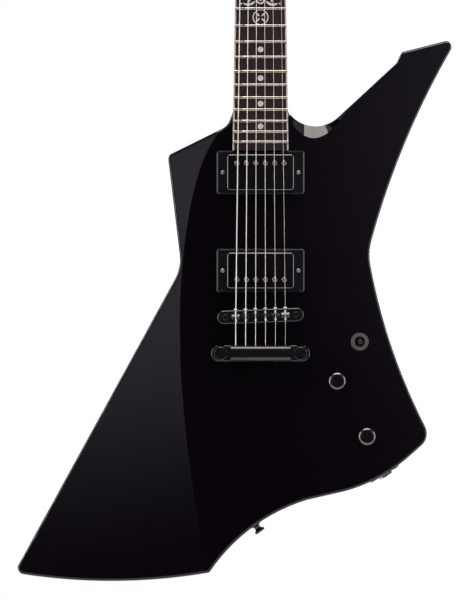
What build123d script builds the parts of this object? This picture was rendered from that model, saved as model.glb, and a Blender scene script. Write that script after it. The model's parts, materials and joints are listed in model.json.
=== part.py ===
"""Solid-body electric guitar: set neck, two humbucking pickups, tune-type bridge and stop bar.

Frame: X towards the treble side, Y towards the back, Z up the neck. The origin is on the centre line,
where the nut meets the fingerboard, in the plane of the body's front face. Sizes are in millimetres.
Heights above the body's front face run along -Y, so FRONT.offset(h) is the plane at height h.
"""

import os
from math import cos, radians, sin

from build123d import *

os.makedirs("parts", exist_ok=True)

# ------------------------------------------------------------------ scale and neck
SCALE = 628.65
FRET_COUNT = 22
NUT_WIDTH = 43.0
BOARD_WIDTH_END = 58.0
BOARD_TAIL = 8.7
BOARD_THICKNESS = 6.0
BOARD_RADIUS = 350.0
BOARD_CORNER = 0.8
BINDING_WIDTH = 1.5
NECK_PROUD = 3.0
NECK_DEPTH_JOINT = 17.0
NUT_THICKNESS = 5.0
NUT_OVER_STRING = 0.9
FRET_CROWN_WIDTH = 2.7
FRET_CROWN_HEIGHT = 1.4
FRET_CROWN_ROUND = 0.95
FRET_TANG_WIDTH = 0.5
FRET_TANG_DEPTH = 1.6
DOT_FRETS = [3, 5, 7, 9, 15, 17, 19, 21]
DOT_DIAMETER = 6.0
ROSETTE_RADIUS = 8.2
ROSETTE_BAND = 1.1
PETAL_LENGTH = 5.0
PETAL_WIDTH = 1.8
PETAL_OUT = 4.1
SIDE_DOT_DIAMETER = 2.0
ROSETTE_RADIUS = 8.2
ROSETTE_BAND = 1.1
PETAL_LENGTH = 5.0
PETAL_WIDTH = 1.8
PETAL_OUT = 4.1
INLAY_DEPTH = 1.2
ROD_WIDTH = 6.0
ROD_DEPTH = 9.0
ROD_NUT_DIAMETER = 6.4
ROD_COVER_THICKNESS = 2.4
ROD_COVER_SCREW = 29.5

# ------------------------------------------------------------------ headstock and machine heads
HEAD_ANGLE = 13.0
HEAD_THICKNESS = 14.0
HEAD_LENGTH = 166.0
HEAD_POINT = 12.0
HEAD_SHOULDER = 26.0
HEAD_HALF_WIDTH_LOW = 37.0
HEAD_HALF_WIDTH_TOP = 31.0
HEAD_CORNER = 6.0
TUNER_PITCH = 41.0
TUNER_FIRST = 46.0
TUNER_INSET = 13.5
TUNER_POST_DIAMETER = 6.0
TUNER_POST_HEIGHT = 17.0
TUNER_BUSHING_DIAMETER = 10.0
TUNER_FLANGE_DIAMETER = 14.0
TUNER_FLANGE_HEIGHT = 4.0
TUNER_CASE_LENGTH = 21.0
TUNER_CASE_WIDTH = 17.0
TUNER_CASE_DEPTH = 12.0
TUNER_WALL = 1.2
WORM_DIAMETER = 5.0
WHEEL_DIAMETER = 9.0
WHEEL_THICKNESS = 5.0
GEAR_GAP = 0.15
KEY_SHAFT_DIAMETER = 4.0
KEY_REACH = 9.0
KEY_LENGTH = 13.0
KEY_WIDTH = 20.0
KEY_THICKNESS = 8.0
KEY_CORNER = 5.0
LOCK_WHEEL_DIAMETER = 11.0
LOCK_WHEEL_THICKNESS = 5.0

# ------------------------------------------------------------------ body
BODY_THICKNESS = 42.0
BODY_EDGE = 2.6
BODY_JOINT = 41.2
FACET_ANGLE = 5.0
FACET_BLEND = 5.0
SCOOP_ANGLE = 35.0
TENON_WIDTH = 52.0
TENON_DEPTH = 20.0
TENON_END_WALL = 4.0
HEEL_STEP = 6.0
HEEL_LENGTH = 50.0
TOP_OVER_CAVITY = 6.0
COVER_THICKNESS = 2.5
COVER_LIP = 5.0
COVER_GAP = 0.3
WIRE_BORE = 9.0

# ------------------------------------------------------------------ strings, bridge and stop bar
STRING_DIAMETERS = [1.168, 0.914, 0.66, 0.432, 0.33, 0.254]
SPREAD_NUT = 35.0
SPREAD_BRIDGE = 51.4
STRING_OVER_FRET_NUT = 0.5
STRING_OVER_FRET_END = 2.2
BRIDGE_SETBACK = 3.95
BRIDGE_SLANT = 2.2
BRIDGE_LENGTH = 89.8
BRIDGE_WIDTH = 14.4
BRIDGE_BOTTOM = 3.6
BRIDGE_HEIGHT = 6.8
BRIDGE_WALL = 2.0
BRIDGE_FLOOR = 1.8
BRIDGE_POST_SPAN = 73.0
POST_DIAMETER = 6.0
POST_TOP = 11.3
THUMBWHEEL_DIAMETER = 14.0
THUMBWHEEL_THICKNESS = 2.0
SADDLE_WIDTH = 8.4
SADDLE_LENGTH = 5.2
SADDLE_SCREW_DIAMETER = 2.2
SADDLE_SCREW_HEIGHT = 8.0
SADDLE_SCREW_HEAD = 3.8
BUSHING_DIAMETER = 11.0
BUSHING_DEPTH = 24.0
BUSHING_FLANGE = 12.4
BUSHING_RIM = 0.5
STUD_SHANK = 8.0
STUD_NECK = 7.4
STUD_HEAD = 13.8
STUD_HEAD_HEIGHT = 3.0
TAIL_SETBACK = 38.7
TAIL_LENGTH = 102.6
TAIL_WIDTH = 17.0
TAIL_BAR_LENGTH = 62.0
TAIL_BOTTOM = 4.0
TAIL_LOBE_THICKNESS = 6.0
TAIL_BAR_THICKNESS = 11.0
TAIL_STUD_SPAN = 82.4
TAIL_HOLE_HEIGHT = 9.5
TAIL_HOLE_DIAMETER = 2.6
BALL_DIAMETER = 3.8

# ------------------------------------------------------------------ pickups
RING_LENGTH = 91.0
RING_WIDTH = 45.0
RING_NECK_HEIGHT = 5.0
RING_BRIDGE_HEIGHT = 8.0
RING_CORNER = 3.0
RING_EDGE = 1.4
RING_TO_BOARD = 0.3
PICKUP_LENGTH = 69.4
PICKUP_WIDTH = 37.4
PICKUP_HEIGHT = 16.0
PICKUP_WALL = 0.6
PICKUP_CORNER = 3.5
PICKUP_EDGE = 1.4
PICKUP_TO_RING = 0.4
PICKUP_TO_STRING = 2.4
BRIDGE_PICKUP_OFFSET = 47.1
POLE_SPREAD = 48.9
POLE_DIAMETER = 4.9
POLE_SHANK = 3.6
POLE_PROUD = 0.7
POLE_ROW = 9.4
BASE_PLATE = 1.5
BOBBIN_HEIGHT = 11.0
HEIGHT_SCREW_SPAN = 78.5
HEIGHT_SCREW_SHANK = 2.6
HEIGHT_SCREW_HEAD = 4.0
HEIGHT_SCREW_LENGTH = 26.0
RING_SCREW_SPAN_X = 81.1
RING_SCREW_SPAN_Z = 36.7
PICKUP_CAVITY_DEPTH = 20.0
PICKUP_LEG_DEPTH = 30.0
PICKUP_LEG_WIDTH = 12.0
SPRING_WIRE = 0.6
SPRING_TURNS = 3

# ------------------------------------------------------------------ controls and fittings
KNOB_DIAMETER = 18.2
KNOB_TOP_DIAMETER = 12.5
KNOB_HEIGHT = 16.5
KNOB_WALL = 2.2
KNOB_SKIRT_DEPTH = 4.5
KNOB_GAP = 0.8
POT_DIAMETER = 17.0
POT_HEIGHT = 8.5
POT_BUSHING = 7.0
POT_SHAFT = 6.0
POT_NUT = 10.0
PANEL_NUT_HEIGHT = 2.0
WASHER_THICKNESS = 0.6
SWITCH_BUSHING = 10.0
SWITCH_BORE = 7.8
SWITCH_WASHER = 18.6
SWITCH_NUT = 12.4
SWITCH_NUT_HEIGHT = 3.2
SWITCH_CASE_DEPTH = 20.0
SWITCH_CASE_LENGTH = 26.0
SWITCH_CASE_WIDTH = 13.0
SWITCH_PIVOT_DEPTH = 3.0
SWITCH_LEVER = 3.0
SWITCH_TIP_DIAMETER = 5.4
SWITCH_REACH = 19.0
JACK_PLATE_LENGTH = 33.5
JACK_PLATE_WIDTH = 30.0
JACK_PLATE_THICKNESS = 1.8
JACK_SEAT_DEPTH = 1.2
JACK_SCREW_INSET = 8.0
JACK_BARREL = 12.4
JACK_BARREL_LENGTH = 30.0
JACK_NOSE = 9.4
JACK_BORE = 6.4
JACK_NUT = 13.0
BUTTON_HEAD = 11.6
BUTTON_BASE = 12.6
BUTTON_NECK = 6.6
BUTTON_HEIGHT = 9.6
SCREW_HEAD = 4.4
SCREW_SHANK = 2.2
SCREW_LENGTH = 12.0
BUTTON_SCREW_HEAD = 6.0
BUTTON_SCREW_SHANK = 3.5
BUTTON_SCREW_LENGTH = 32.0
RUNNING = 0.06
CLEAR = 0.3

# ------------------------------------------------------------------ places worked out from the sizes
FRONT = Plane.XZ
BOARD_TOP = NECK_PROUD + BOARD_THICKNESS
FRET_TOP = BOARD_TOP + FRET_CROWN_HEIGHT
MID_BODY = BODY_THICKNESS / 2


def fret_z(number):
    """Height in Z of a fret, below the nut."""
    return -SCALE * (1 - 2 ** (-number / 12))


def between_frets(number):
    """Z of the middle of the space played at a fret."""
    return (fret_z(number) + fret_z(number - 1)) / 2


BOARD_END = fret_z(FRET_COUNT) - BOARD_TAIL
JOINT_Z = BOARD_END + BODY_JOINT
BRIDGE_Z = -(SCALE + BRIDGE_SETBACK)
TAIL_Z = BRIDGE_Z - TAIL_SETBACK
STRING_SLOPE = (STRING_OVER_FRET_END - STRING_OVER_FRET_NUT) / -fret_z(FRET_COUNT)


def facing_front(x, z, height=0.0):
    """Plane facing the player's audience, at a height above the body's front face."""
    return Plane(origin=(x, -height, z), x_dir=(1, 0, 0), z_dir=(0, -1, 0))


def facing_back(x, z):
    """Plane on the body's flat back, facing away from it."""
    return Plane(origin=(x, BODY_THICKNESS, z), x_dir=(-1, 0, 0), z_dir=(0, 1, 0))


def on_body(x, z):
    """A point of the body's plan, with z counted up from the fingerboard's end."""
    return (x, BOARD_END + z)


def board_half_width(z):
    """Half the fingerboard's width, binding included, at a place along the neck."""
    return (NUT_WIDTH + (BOARD_WIDTH_END - NUT_WIDTH) * z / BOARD_END) / 2


def arc_drop(x):
    """How far the fingerboard's round top falls at x from the centre line."""
    return BOARD_RADIUS - (BOARD_RADIUS**2 - x**2) ** 0.5


def nut_x(i):
    """Where string i crosses the nut; string 0 is the lowest, on the bass side."""
    return SPREAD_NUT * (i / 5 - 0.5)


def bridge_x(i):
    """Where string i crosses its saddle."""
    return SPREAD_BRIDGE * (i / 5 - 0.5)


def string_underside(x, z):
    """Height of the underside of a string over the body's front face."""
    return FRET_TOP + STRING_OVER_FRET_NUT - STRING_SLOPE * z - arc_drop(x)


STRINGS = range(len(STRING_DIAMETERS))
HEAD = Plane(
    origin=(0, -NECK_PROUD, NUT_THICKNESS),
    x_dir=(1, 0, 0),
    z_dir=(0, -cos(radians(HEAD_ANGLE)), sin(radians(HEAD_ANGLE))),
)
SLANT = (cos(radians(BRIDGE_SLANT)), 0, sin(radians(BRIDGE_SLANT)))
BRIDGE = Plane(origin=(0, 0, BRIDGE_Z), x_dir=SLANT, z_dir=(0, -1, 0))
TAIL = facing_front(0, TAIL_Z)
NECK_PICKUP = facing_front(0, BOARD_END - RING_TO_BOARD - RING_WIDTH / 2)
BRIDGE_PICKUP = facing_front(0, BRIDGE_Z + BRIDGE_PICKUP_OFFSET)
VOLUME_AT = on_body(79.3, -239.0)
TONE_AT = on_body(110.2, -296.3)
SWITCH_AT = on_body(103.0, -198.2)

# ------------------------------------------------------------------ body plan
TIP_LEFT = on_body(-257.0, -439.6)
TIP_MIDDLE = on_body(-53.0, -438.2)
WAIST_LEFT = on_body(-82.2, -121.0)
WAIST_RIGHT = on_body(112.0, -105.5)
LOBE_RIGHT = on_body(177.0, -297.5)
HORN_TIP = on_body(205.0, 117.2)
CUTAWAY_FLOOR = on_body(57.0, 25.6)
CUTAWAY_END = on_body(81.0, 35.1)
NECK_LEFT = (-board_half_width(JOINT_Z), JOINT_Z)
NECK_RIGHT = (board_half_width(JOINT_Z), JOINT_Z)
TAIL_CURVE = [TIP_MIDDLE, on_body(-11.0, -393.3), on_body(48.0, -362.8)]
JACK_CURVE = [on_body(88.0, -353.6), on_body(121.0, -340.6), on_body(157.5, -314.8)]
SHOULDER_IN = on_body(-34.5, 25.5)
SHOULDER_OUT = on_body(-96.3, -4.9)
STEP_TOP = on_body(147.0, 102.4)
STEP_FOOT = on_body(142.0, 91.5)
CORNER_RADII = [
    (SHOULDER_IN, 14.0),
    (SHOULDER_OUT, 6.0),
    (WAIST_LEFT, 45.0),
    (TIP_LEFT, 7.0),
    (TIP_MIDDLE, 3.5),
    (LOBE_RIGHT, 17.0),
    (WAIST_RIGHT, 60.0),
    (HORN_TIP, 6.0),
    (STEP_TOP, 2.5),
    (STEP_FOOT, 4.0),
]
CREASE = [
    on_body(-32.5, 33.0),
    on_body(-53.5, 3.0),
    on_body(-74.5, -67.0),
    on_body(-83.8, -179.0),
    on_body(-74.4, -317.0),
    on_body(-49.0, -470.0),
]
SCOOP_LINE = [
    on_body(29.6, 38.4),
    on_body(36.0, 23.8),
    on_body(54.5, 13.0),
    on_body(74.0, 21.7),
    on_body(90.8, 43.6),
    on_body(106.0, 60.5),
]
FACET_FAR = -300.0
SCOOP_FAR = 120.0

with BuildSketch(FRONT) as body_plan:
    with BuildLine():
        Polyline(NECK_RIGHT, NECK_LEFT, SHOULDER_IN, SHOULDER_OUT, WAIST_LEFT, TIP_LEFT)
        ThreePointArc(TIP_LEFT, on_body(-144.0, -447.4), TIP_MIDDLE)
        ThreePointArc(*TAIL_CURVE)
        Line(TAIL_CURVE[2], JACK_CURVE[0])
        ThreePointArc(*JACK_CURVE)
        Line(JACK_CURVE[2], LOBE_RIGHT)
        ThreePointArc(LOBE_RIGHT, on_body(138.0, -208.5), WAIST_RIGHT)
        ThreePointArc(WAIST_RIGHT, on_body(149.8, 7.5), HORN_TIP)
        Polyline(HORN_TIP, STEP_TOP, STEP_FOOT, CUTAWAY_END)
        ThreePointArc(CUTAWAY_END, CUTAWAY_FLOOR, NECK_RIGHT)
    make_face()
    for corner, radius in CORNER_RADII:
        fillet(body_plan.vertices().sort_by_distance((*corner, 0))[0], radius)

CONTROL_CAVITY = [
    on_body(86.0, -184.0),
    on_body(114.0, -184.0),
    on_body(127.0, -228.0),
    on_body(137.0, -300.0),
    on_body(119.0, -322.0),
    on_body(97.0, -316.0),
    on_body(62.0, -254.0),
    on_body(62.0, -226.0),
]
CAVITY_CORNER = 9.0
COVER_SCREWS = [
    on_body(86.5, -180.9),
    on_body(117.0, -181.6),
    on_body(139.6, -299.0),
    on_body(94.2, -318.6),
    on_body(59.0, -225.0),
]


def cavity_plan(height, grow):
    """Outline of the control cavity at a height over the front face, larger by grow."""
    with BuildSketch(FRONT.offset(height)) as plan:
        with BuildLine():
            FilletPolyline(*CONTROL_CAVITY, radius=CAVITY_CORNER, close=True)
        make_face()
        if grow:
            offset(amount=grow)
    return plan.sketch


def edge_plane(curve, fraction, inward=0.0):
    """Plane on the body's side, facing out, at a fraction of the way along an outline curve."""
    spot = curve @ fraction
    along = curve % fraction
    out = Vector(along.Y, 0, -along.X)
    origin = Vector(spot.X, MID_BODY, spot.Y) - out * inward
    return Plane(origin=origin, x_dir=(along.X, 0, along.Y), z_dir=out)


JACK = edge_plane(ThreePointArc(*JACK_CURVE), 0.56, JACK_SEAT_DEPTH)
LOWER_BUTTON = edge_plane(ThreePointArc(*TAIL_CURVE), 0.535, 0.2)
UPPER_BUTTON = facing_back(0, JOINT_Z - 22)


def bore(start, end, diameter):
    """Straight round bore from one point to another."""
    run = end - start
    with BuildPart(Plane(origin=start, z_dir=run)) as drill:
        Cylinder(diameter / 2, run.length, align=(Align.CENTER, Align.CENTER, Align.MIN))
    return drill.part


# ================================================================== body
with BuildPart() as body:
    extrude(body_plan.sketch, amount=-BODY_THICKNESS)
    with BuildSketch(FRONT):
        with BuildLine():
            Spline(*CREASE)
            Polyline(CREASE[-1], (FACET_FAR, CREASE[-1][1]), (FACET_FAR, CREASE[0][1]), CREASE[0])
        make_face()
    facet_dir = (-cos(radians(FACET_ANGLE)), sin(radians(FACET_ANGLE)), 0)
    extrude(amount=-2 * FACET_FAR, dir=facet_dir, mode=Mode.SUBTRACT)
    # the crease is eased first, so that the rim can be rounded in one run
    front_face = body.faces().sort_by(Axis.Y)[0]
    facet_face = body.faces().filter_by(lambda f: 0.01 < abs(f.normal_at().Y) < 0.999)[0]
    fillet([e for e in facet_face.edges() if e in front_face.edges()], FACET_BLEND)
    wall_edges = body.faces().filter_by(lambda f: abs(f.normal_at().Y) < 0.01).edges()
    caps = body.faces().filter_by(lambda f: abs(f.normal_at().Y) >= 0.01)
    fillet([e for e in caps.edges() if e in wall_edges], BODY_EDGE)
    with BuildSketch(FRONT):
        with BuildLine():
            Spline(*SCOOP_LINE)
            Polyline(
                SCOOP_LINE[-1],
                (SCOOP_LINE[-1][0], SCOOP_LINE[-1][1] + SCOOP_FAR),
                (SCOOP_LINE[0][0], SCOOP_LINE[-1][1] + SCOOP_FAR),
                SCOOP_LINE[0],
            )
        make_face()
    scoop_dir = (0, sin(radians(SCOOP_ANGLE)), cos(radians(SCOOP_ANGLE)))
    extrude(amount=BODY_THICKNESS / 2, dir=scoop_dir, mode=Mode.SUBTRACT)
    # neck pocket and pickup cavities
    with BuildSketch(FRONT):
        with Locations((0, JOINT_Z)):
            Rectangle(TENON_WIDTH, 2 * (BODY_JOINT - TENON_END_WALL))
    extrude(amount=-TENON_DEPTH, mode=Mode.SUBTRACT)
    for seat in (NECK_PICKUP, BRIDGE_PICKUP):
        with BuildSketch(seat):
            RectangleRounded(PICKUP_LENGTH + 4, PICKUP_WIDTH + 3, PICKUP_CORNER)
        extrude(amount=-PICKUP_CAVITY_DEPTH, mode=Mode.SUBTRACT)
        with BuildSketch(seat):
            SlotOverall(HEIGHT_SCREW_SPAN + 9.5, PICKUP_LEG_WIDTH)
        extrude(amount=-PICKUP_LEG_DEPTH, mode=Mode.SUBTRACT)
    # sockets for the bridge and stop-bar studs
    for seat, span in ((BRIDGE, BRIDGE_POST_SPAN), (TAIL, TAIL_STUD_SPAN)):
        with Locations(seat):
            with GridLocations(span, 1, 2, 1):
                Hole(BUSHING_DIAMETER / 2, BUSHING_DEPTH)
    # control cavity, its cover's recess and the wire ways
    extrude(cavity_plan(-TOP_OVER_CAVITY, 0), amount=-BODY_THICKNESS, mode=Mode.SUBTRACT)
    extrude(cavity_plan(COVER_THICKNESS - BODY_THICKNESS, COVER_LIP), amount=-20, mode=Mode.SUBTRACT)
    for spot, diameter in ((VOLUME_AT, POT_BUSHING), (TONE_AT, POT_BUSHING), (SWITCH_AT, SWITCH_BUSHING)):
        with Locations(facing_front(*spot)):
            Hole(diameter / 2 + RUNNING, 2 * TOP_OVER_CAVITY)
    wire_spot = Vector(28, PICKUP_CAVITY_DEPTH - WIRE_BORE / 2 - 1, BRIDGE_PICKUP.origin.Z)
    add(bore(wire_spot, Vector(90, wire_spot.Y, SWITCH_AT[1] - 16), WIRE_BORE), mode=Mode.SUBTRACT)
    neck_spot = Vector(0, wire_spot.Y, NECK_PICKUP.origin.Z)
    add(bore(neck_spot, Vector(0, wire_spot.Y, wire_spot.Z), WIRE_BORE), mode=Mode.SUBTRACT)
    # jack: a flat seat, then a bore into the control cavity
    with BuildSketch(JACK):
        RectangleRounded(JACK_PLATE_LENGTH + 2 * CLEAR, JACK_PLATE_WIDTH + 2 * CLEAR, 4)
    extrude(amount=JACK_PLATE_LENGTH, mode=Mode.SUBTRACT)
    with Locations(JACK):
        Hole(JACK_BARREL / 2 + CLEAR, JACK_BARREL_LENGTH + 2)
    # pilot holes for the small screws
    with Locations(NECK_PICKUP, BRIDGE_PICKUP):
        with GridLocations(RING_SCREW_SPAN_X, RING_SCREW_SPAN_Z, 2, 2):
            Hole(SCREW_SHANK / 2, SCREW_LENGTH)
    with Locations(JACK):
        with GridLocations(JACK_PLATE_LENGTH - JACK_SCREW_INSET, JACK_PLATE_WIDTH - JACK_SCREW_INSET, 2, 2):
            Hole(SCREW_SHANK / 2, SCREW_LENGTH)
    with Locations(*[facing_back(*spot) for spot in COVER_SCREWS]):
        Hole(SCREW_SHANK / 2, SCREW_LENGTH + 1)
    # strap button: a spot face and a hole for its screw
    with Locations(LOWER_BUTTON):
        Hole(BUTTON_SCREW_SHANK / 2, BUTTON_SCREW_LENGTH)
    with BuildSketch(LOWER_BUTTON):
        Circle(BUTTON_BASE / 2 + CLEAR)
    extrude(amount=BUTTON_BASE / 2, mode=Mode.SUBTRACT)
    with Locations(UPPER_BUTTON):
        Hole(BUTTON_SCREW_SHANK / 2, BODY_THICKNESS - TENON_DEPTH - 2)

# ================================================================== neck


def neck_section(z, depth):
    """Rounded cross-section of the neck, from the glue line to its back."""
    half = board_half_width(z)
    with BuildSketch(Plane.XY.offset(z)) as section:
        with BuildLine():
            Line((-half, -NECK_PROUD), (half, -NECK_PROUD))
            Spline(
                (half, -NECK_PROUD),
                (0, depth - NECK_PROUD),
                (-half, -NECK_PROUD),
                tangents=[(0, 1), (0, -1)],
            )
        make_face()
    return section.sketch


def head_half_width(y):
    """Half the headstock's width at a distance up from its foot."""
    rise = (y - HEAD_SHOULDER) / (HEAD_LENGTH - HEAD_SHOULDER)
    return HEAD_HALF_WIDTH_LOW + (HEAD_HALF_WIDTH_TOP - HEAD_HALF_WIDTH_LOW) * rise


def tuner_spot(i):
    """Place of post i on the headstock: strings 0 to 2 go up the bass side, 3 to 5 the treble side."""
    row = i if i < 3 else 5 - i
    y = TUNER_FIRST + TUNER_PITCH * row
    x = head_half_width(y) - TUNER_INSET
    return (-x if i < 3 else x, y)


NECK_DEPTH_NUT = HEAD_THICKNESS / cos(radians(HEAD_ANGLE))
HEEL_Z = JOINT_Z + HEEL_LENGTH
HEEL_DEPTH = BODY_THICKNESS - HEEL_STEP + NECK_PROUD
NECK_FOOT_HALF = board_half_width(NUT_THICKNESS)

with BuildPart() as neck:
    for z, depth in ((NUT_THICKNESS, NECK_DEPTH_NUT), (JOINT_Z, NECK_DEPTH_JOINT)):
        add(neck_section(z, depth))
    loft()
    for share in (0, 0.35, 0.7, 1):
        swell = (3 - 2 * share) * share**2
        depth = NECK_DEPTH_JOINT - 0.4 + (HEEL_DEPTH - NECK_DEPTH_JOINT) * swell
        add(neck_section(HEEL_Z - HEEL_LENGTH * share, depth))
    loft()
    # tongue under the fingerboard's end, and the tenon in the body's pocket
    with BuildSketch(FRONT):
        with BuildLine():
            foot = board_half_width(BOARD_END)
            Polyline(NECK_LEFT, NECK_RIGHT, (foot, BOARD_END), (-foot, BOARD_END), close=True)
        make_face()
        fillet(vertices().group_by(Axis.Y)[0], BOARD_CORNER)
    extrude(amount=NECK_PROUD)
    with BuildSketch(FRONT):
        with Locations((0, JOINT_Z)):
            Rectangle(TENON_WIDTH, BODY_JOINT - TENON_END_WALL, align=(Align.CENTER, Align.MAX))
    extrude(amount=-TENON_DEPTH)
    # headstock
    with BuildSketch(HEAD) as head_plan:
        with BuildLine():
            Polyline(
                (-NECK_FOOT_HALF, 0),
                (-HEAD_HALF_WIDTH_LOW, HEAD_SHOULDER),
                (-HEAD_HALF_WIDTH_TOP, HEAD_LENGTH),
                (0, HEAD_LENGTH + HEAD_POINT),
                (HEAD_HALF_WIDTH_TOP, HEAD_LENGTH),
                (HEAD_HALF_WIDTH_LOW, HEAD_SHOULDER),
                (NECK_FOOT_HALF, 0),
                close=True,
            )
        make_face()
        for side in (-1, 1):
            for half, up in ((HEAD_HALF_WIDTH_LOW, HEAD_SHOULDER), (HEAD_HALF_WIDTH_TOP, HEAD_LENGTH)):
                fillet(head_plan.vertices().sort_by_distance((side * half, up, 0))[0], HEAD_CORNER)
    extrude(amount=-HEAD_THICKNESS)
    with Locations(HEAD):
        with Locations(*[tuner_spot(i) for i in STRINGS]):
            Hole(TUNER_BUSHING_DIAMETER / 2, 2 * HEAD_THICKNESS)
    with Locations(HEAD):
        with Locations((0, ROD_COVER_SCREW)):
            Hole(SCREW_SHANK / 2, SCREW_LENGTH - 2)
    # truss rod channel and its access pocket
    with BuildSketch(FRONT.offset(NECK_PROUD)):
        Rectangle(ROD_WIDTH, -JOINT_Z - 8, align=(Align.CENTER, Align.MAX))
        Rectangle(ROD_NUT_DIAMETER + CLEAR, NUT_THICKNESS + 16, align=(Align.CENTER, Align.MIN))
    extrude(amount=-ROD_DEPTH, mode=Mode.SUBTRACT)
    with BuildSketch(HEAD):
        with Locations((0, 4)):
            RectangleRounded(11, 24, 3, align=(Align.CENTER, Align.MIN))
    extrude(amount=-7, mode=Mode.SUBTRACT)

with BuildPart() as truss_rod:
    with BuildSketch(FRONT.offset(NECK_PROUD - RUNNING)):
        Rectangle(ROD_WIDTH - 2 * RUNNING, -JOINT_Z - 9, align=(Align.CENTER, Align.MAX))
    extrude(amount=-(ROD_DEPTH - 2 * RUNNING))
    rod_axis = Plane(origin=(0, ROD_DEPTH / 2 - NECK_PROUD, 0), z_dir=(0, 0, 1))
    with BuildSketch(rod_axis):
        Circle(ROD_NUT_DIAMETER / 2)
    extrude(amount=NUT_THICKNESS + 9)
    with BuildSketch(rod_axis.offset(NUT_THICKNESS + 9)):
        RegularPolygon(2.0, 6)
    extrude(amount=-5, mode=Mode.SUBTRACT)

# ================================================================== fingerboard, binding, inlays, frets


def crowned_section(z, inset, high, low=NECK_PROUD):
    """Cross-section of a strip of the fingerboard: flat below, on its radius above."""
    half = board_half_width(z) - inset
    edge = high - arc_drop(half)
    with BuildSketch(Plane.XY.offset(z)) as section:
        with BuildLine():
            Polyline((-half, -edge), (-half, -low), (half, -low), (half, -edge))
            ThreePointArc((half, -edge), (0, -high), (-half, -edge))
        make_face()
    return section.sketch


def fret_section(z, inset, low, high):
    """Cross-section of a band that follows the fingerboard's radius between two heights."""
    half = board_half_width(z) - inset
    drop = arc_drop(half)
    with BuildSketch(Plane.XY.offset(z)) as section:
        with BuildLine():
            ThreePointArc((-half, drop - low), (0, -low), (half, drop - low))
            Line((half, drop - low), (half, drop - high))
            ThreePointArc((half, drop - high), (0, -high), (-half, drop - high))
            Line((-half, drop - high), (-half, drop - low))
        make_face()
    return section.sketch


with BuildPart() as board_blank:
    for z in (0, BOARD_END):
        add(crowned_section(z, BINDING_WIDTH, BOARD_TOP))
    loft()

# the same plan, taller both ways, parts the binding into its two side strips
with BuildPart() as binding_core:
    for z in (0, BOARD_END):
        add(crowned_section(z, BINDING_WIDTH, BOARD_TOP + 2, NECK_PROUD - 2))
    loft()

with BuildPart() as octave_ornament:
    with BuildSketch(facing_front(0, between_frets(12), BOARD_TOP - INLAY_DEPTH)) as scroll:
        Circle(4.6)
        Circle(3.0, mode=Mode.SUBTRACT)
        Circle(1.3)
        for turn in (1, -1):
            for flip in (1, -1):
                with BuildLine():
                    root = (4.9 * turn, 0.5 * flip)
                    tip = (18.5 * turn, 3.2 * flip)
                    ThreePointArc(root, (10.5 * turn, 6.0 * flip), tip)
                    ThreePointArc(tip, (10.8 * turn, 3.4 * flip), root)
                make_face()
                with Locations((20.0 * turn, 4.0 * flip), (11.5 * turn, 1.0 * flip)):
                    Circle(0.9)
    extrude(amount=2 * INLAY_DEPTH)
    with BuildSketch(facing_front(0, between_frets(13), BOARD_TOP - INLAY_DEPTH)) as rosette:
        Circle(ROSETTE_RADIUS)
        Circle(ROSETTE_RADIUS - ROSETTE_BAND, mode=Mode.SUBTRACT)
        with PolarLocations(PETAL_OUT, 4, start_angle=45):
            Ellipse(PETAL_LENGTH / 2, PETAL_WIDTH / 2)
    extrude(amount=2 * INLAY_DEPTH)

with BuildPart() as inlays:
    add(octave_ornament.part)
    with BuildSketch(FRONT.offset(BOARD_TOP - INLAY_DEPTH)):
        with Locations(*[(0, between_frets(n)) for n in DOT_FRETS]):
            Circle(DOT_DIAMETER / 2)
    extrude(amount=2 * INLAY_DEPTH)
    add(board_blank.part, mode=Mode.INTERSECT)

with BuildPart() as side_dots:
    for n in sorted(DOT_FRETS + [12]):
        z = between_frets(n)
        spots = [z - 4, z + 4] if n == 12 else [z]
        for spot in spots:
            with BuildSketch(Plane.YZ.offset(-board_half_width(spot))):
                with Locations((-NECK_PROUD - BOARD_THICKNESS / 2, spot)):
                    Circle(SIDE_DOT_DIAMETER / 2)
            extrude(amount=BINDING_WIDTH - 0.3)

with BuildPart() as fingerboard:
    add(board_blank.part)
    add(inlays.part, mode=Mode.SUBTRACT)
    for n in range(1, FRET_COUNT + 1):
        slot_start = fret_z(n) - FRET_TANG_WIDTH / 2
        slot = fret_section(slot_start, BINDING_WIDTH - 0.5, BOARD_TOP - FRET_TANG_DEPTH, FRET_TOP)
        extrude(slot, amount=FRET_TANG_WIDTH, mode=Mode.SUBTRACT)

with BuildPart() as fingerboard_binding:
    for z in (0, BOARD_END):
        add(crowned_section(z, 0, BOARD_TOP))
    loft()
    fillet(fingerboard_binding.edges().filter_by(Axis.Y).group_by(Axis.Z)[0], BOARD_CORNER)
    add(binding_core.part, mode=Mode.SUBTRACT)
    add(side_dots.part, mode=Mode.SUBTRACT)

with BuildPart() as position_inlays:
    add(inlays.part)
    add(side_dots.part)

with BuildPart() as frets:
    for n in range(1, FRET_COUNT + 1):
        with BuildPart(mode=Mode.PRIVATE) as fret:
            crown = fret_section(fret_z(n) - FRET_CROWN_WIDTH / 2, 0.25, BOARD_TOP, FRET_TOP)
            extrude(crown, amount=FRET_CROWN_WIDTH)
            tops = fret.faces().sort_by(Axis.Y)[0].edges().filter_by(GeomType.CIRCLE)
            fillet(tops, FRET_CROWN_ROUND)
            tang_low, tang_high = BOARD_TOP - FRET_TANG_DEPTH, BOARD_TOP + FRET_CROWN_HEIGHT / 2
            tang = fret_section(fret_z(n) - FRET_TANG_WIDTH / 2, BINDING_WIDTH, tang_low, tang_high)
            extrude(tang, amount=FRET_TANG_WIDTH)
        add(fret.part)

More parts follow.
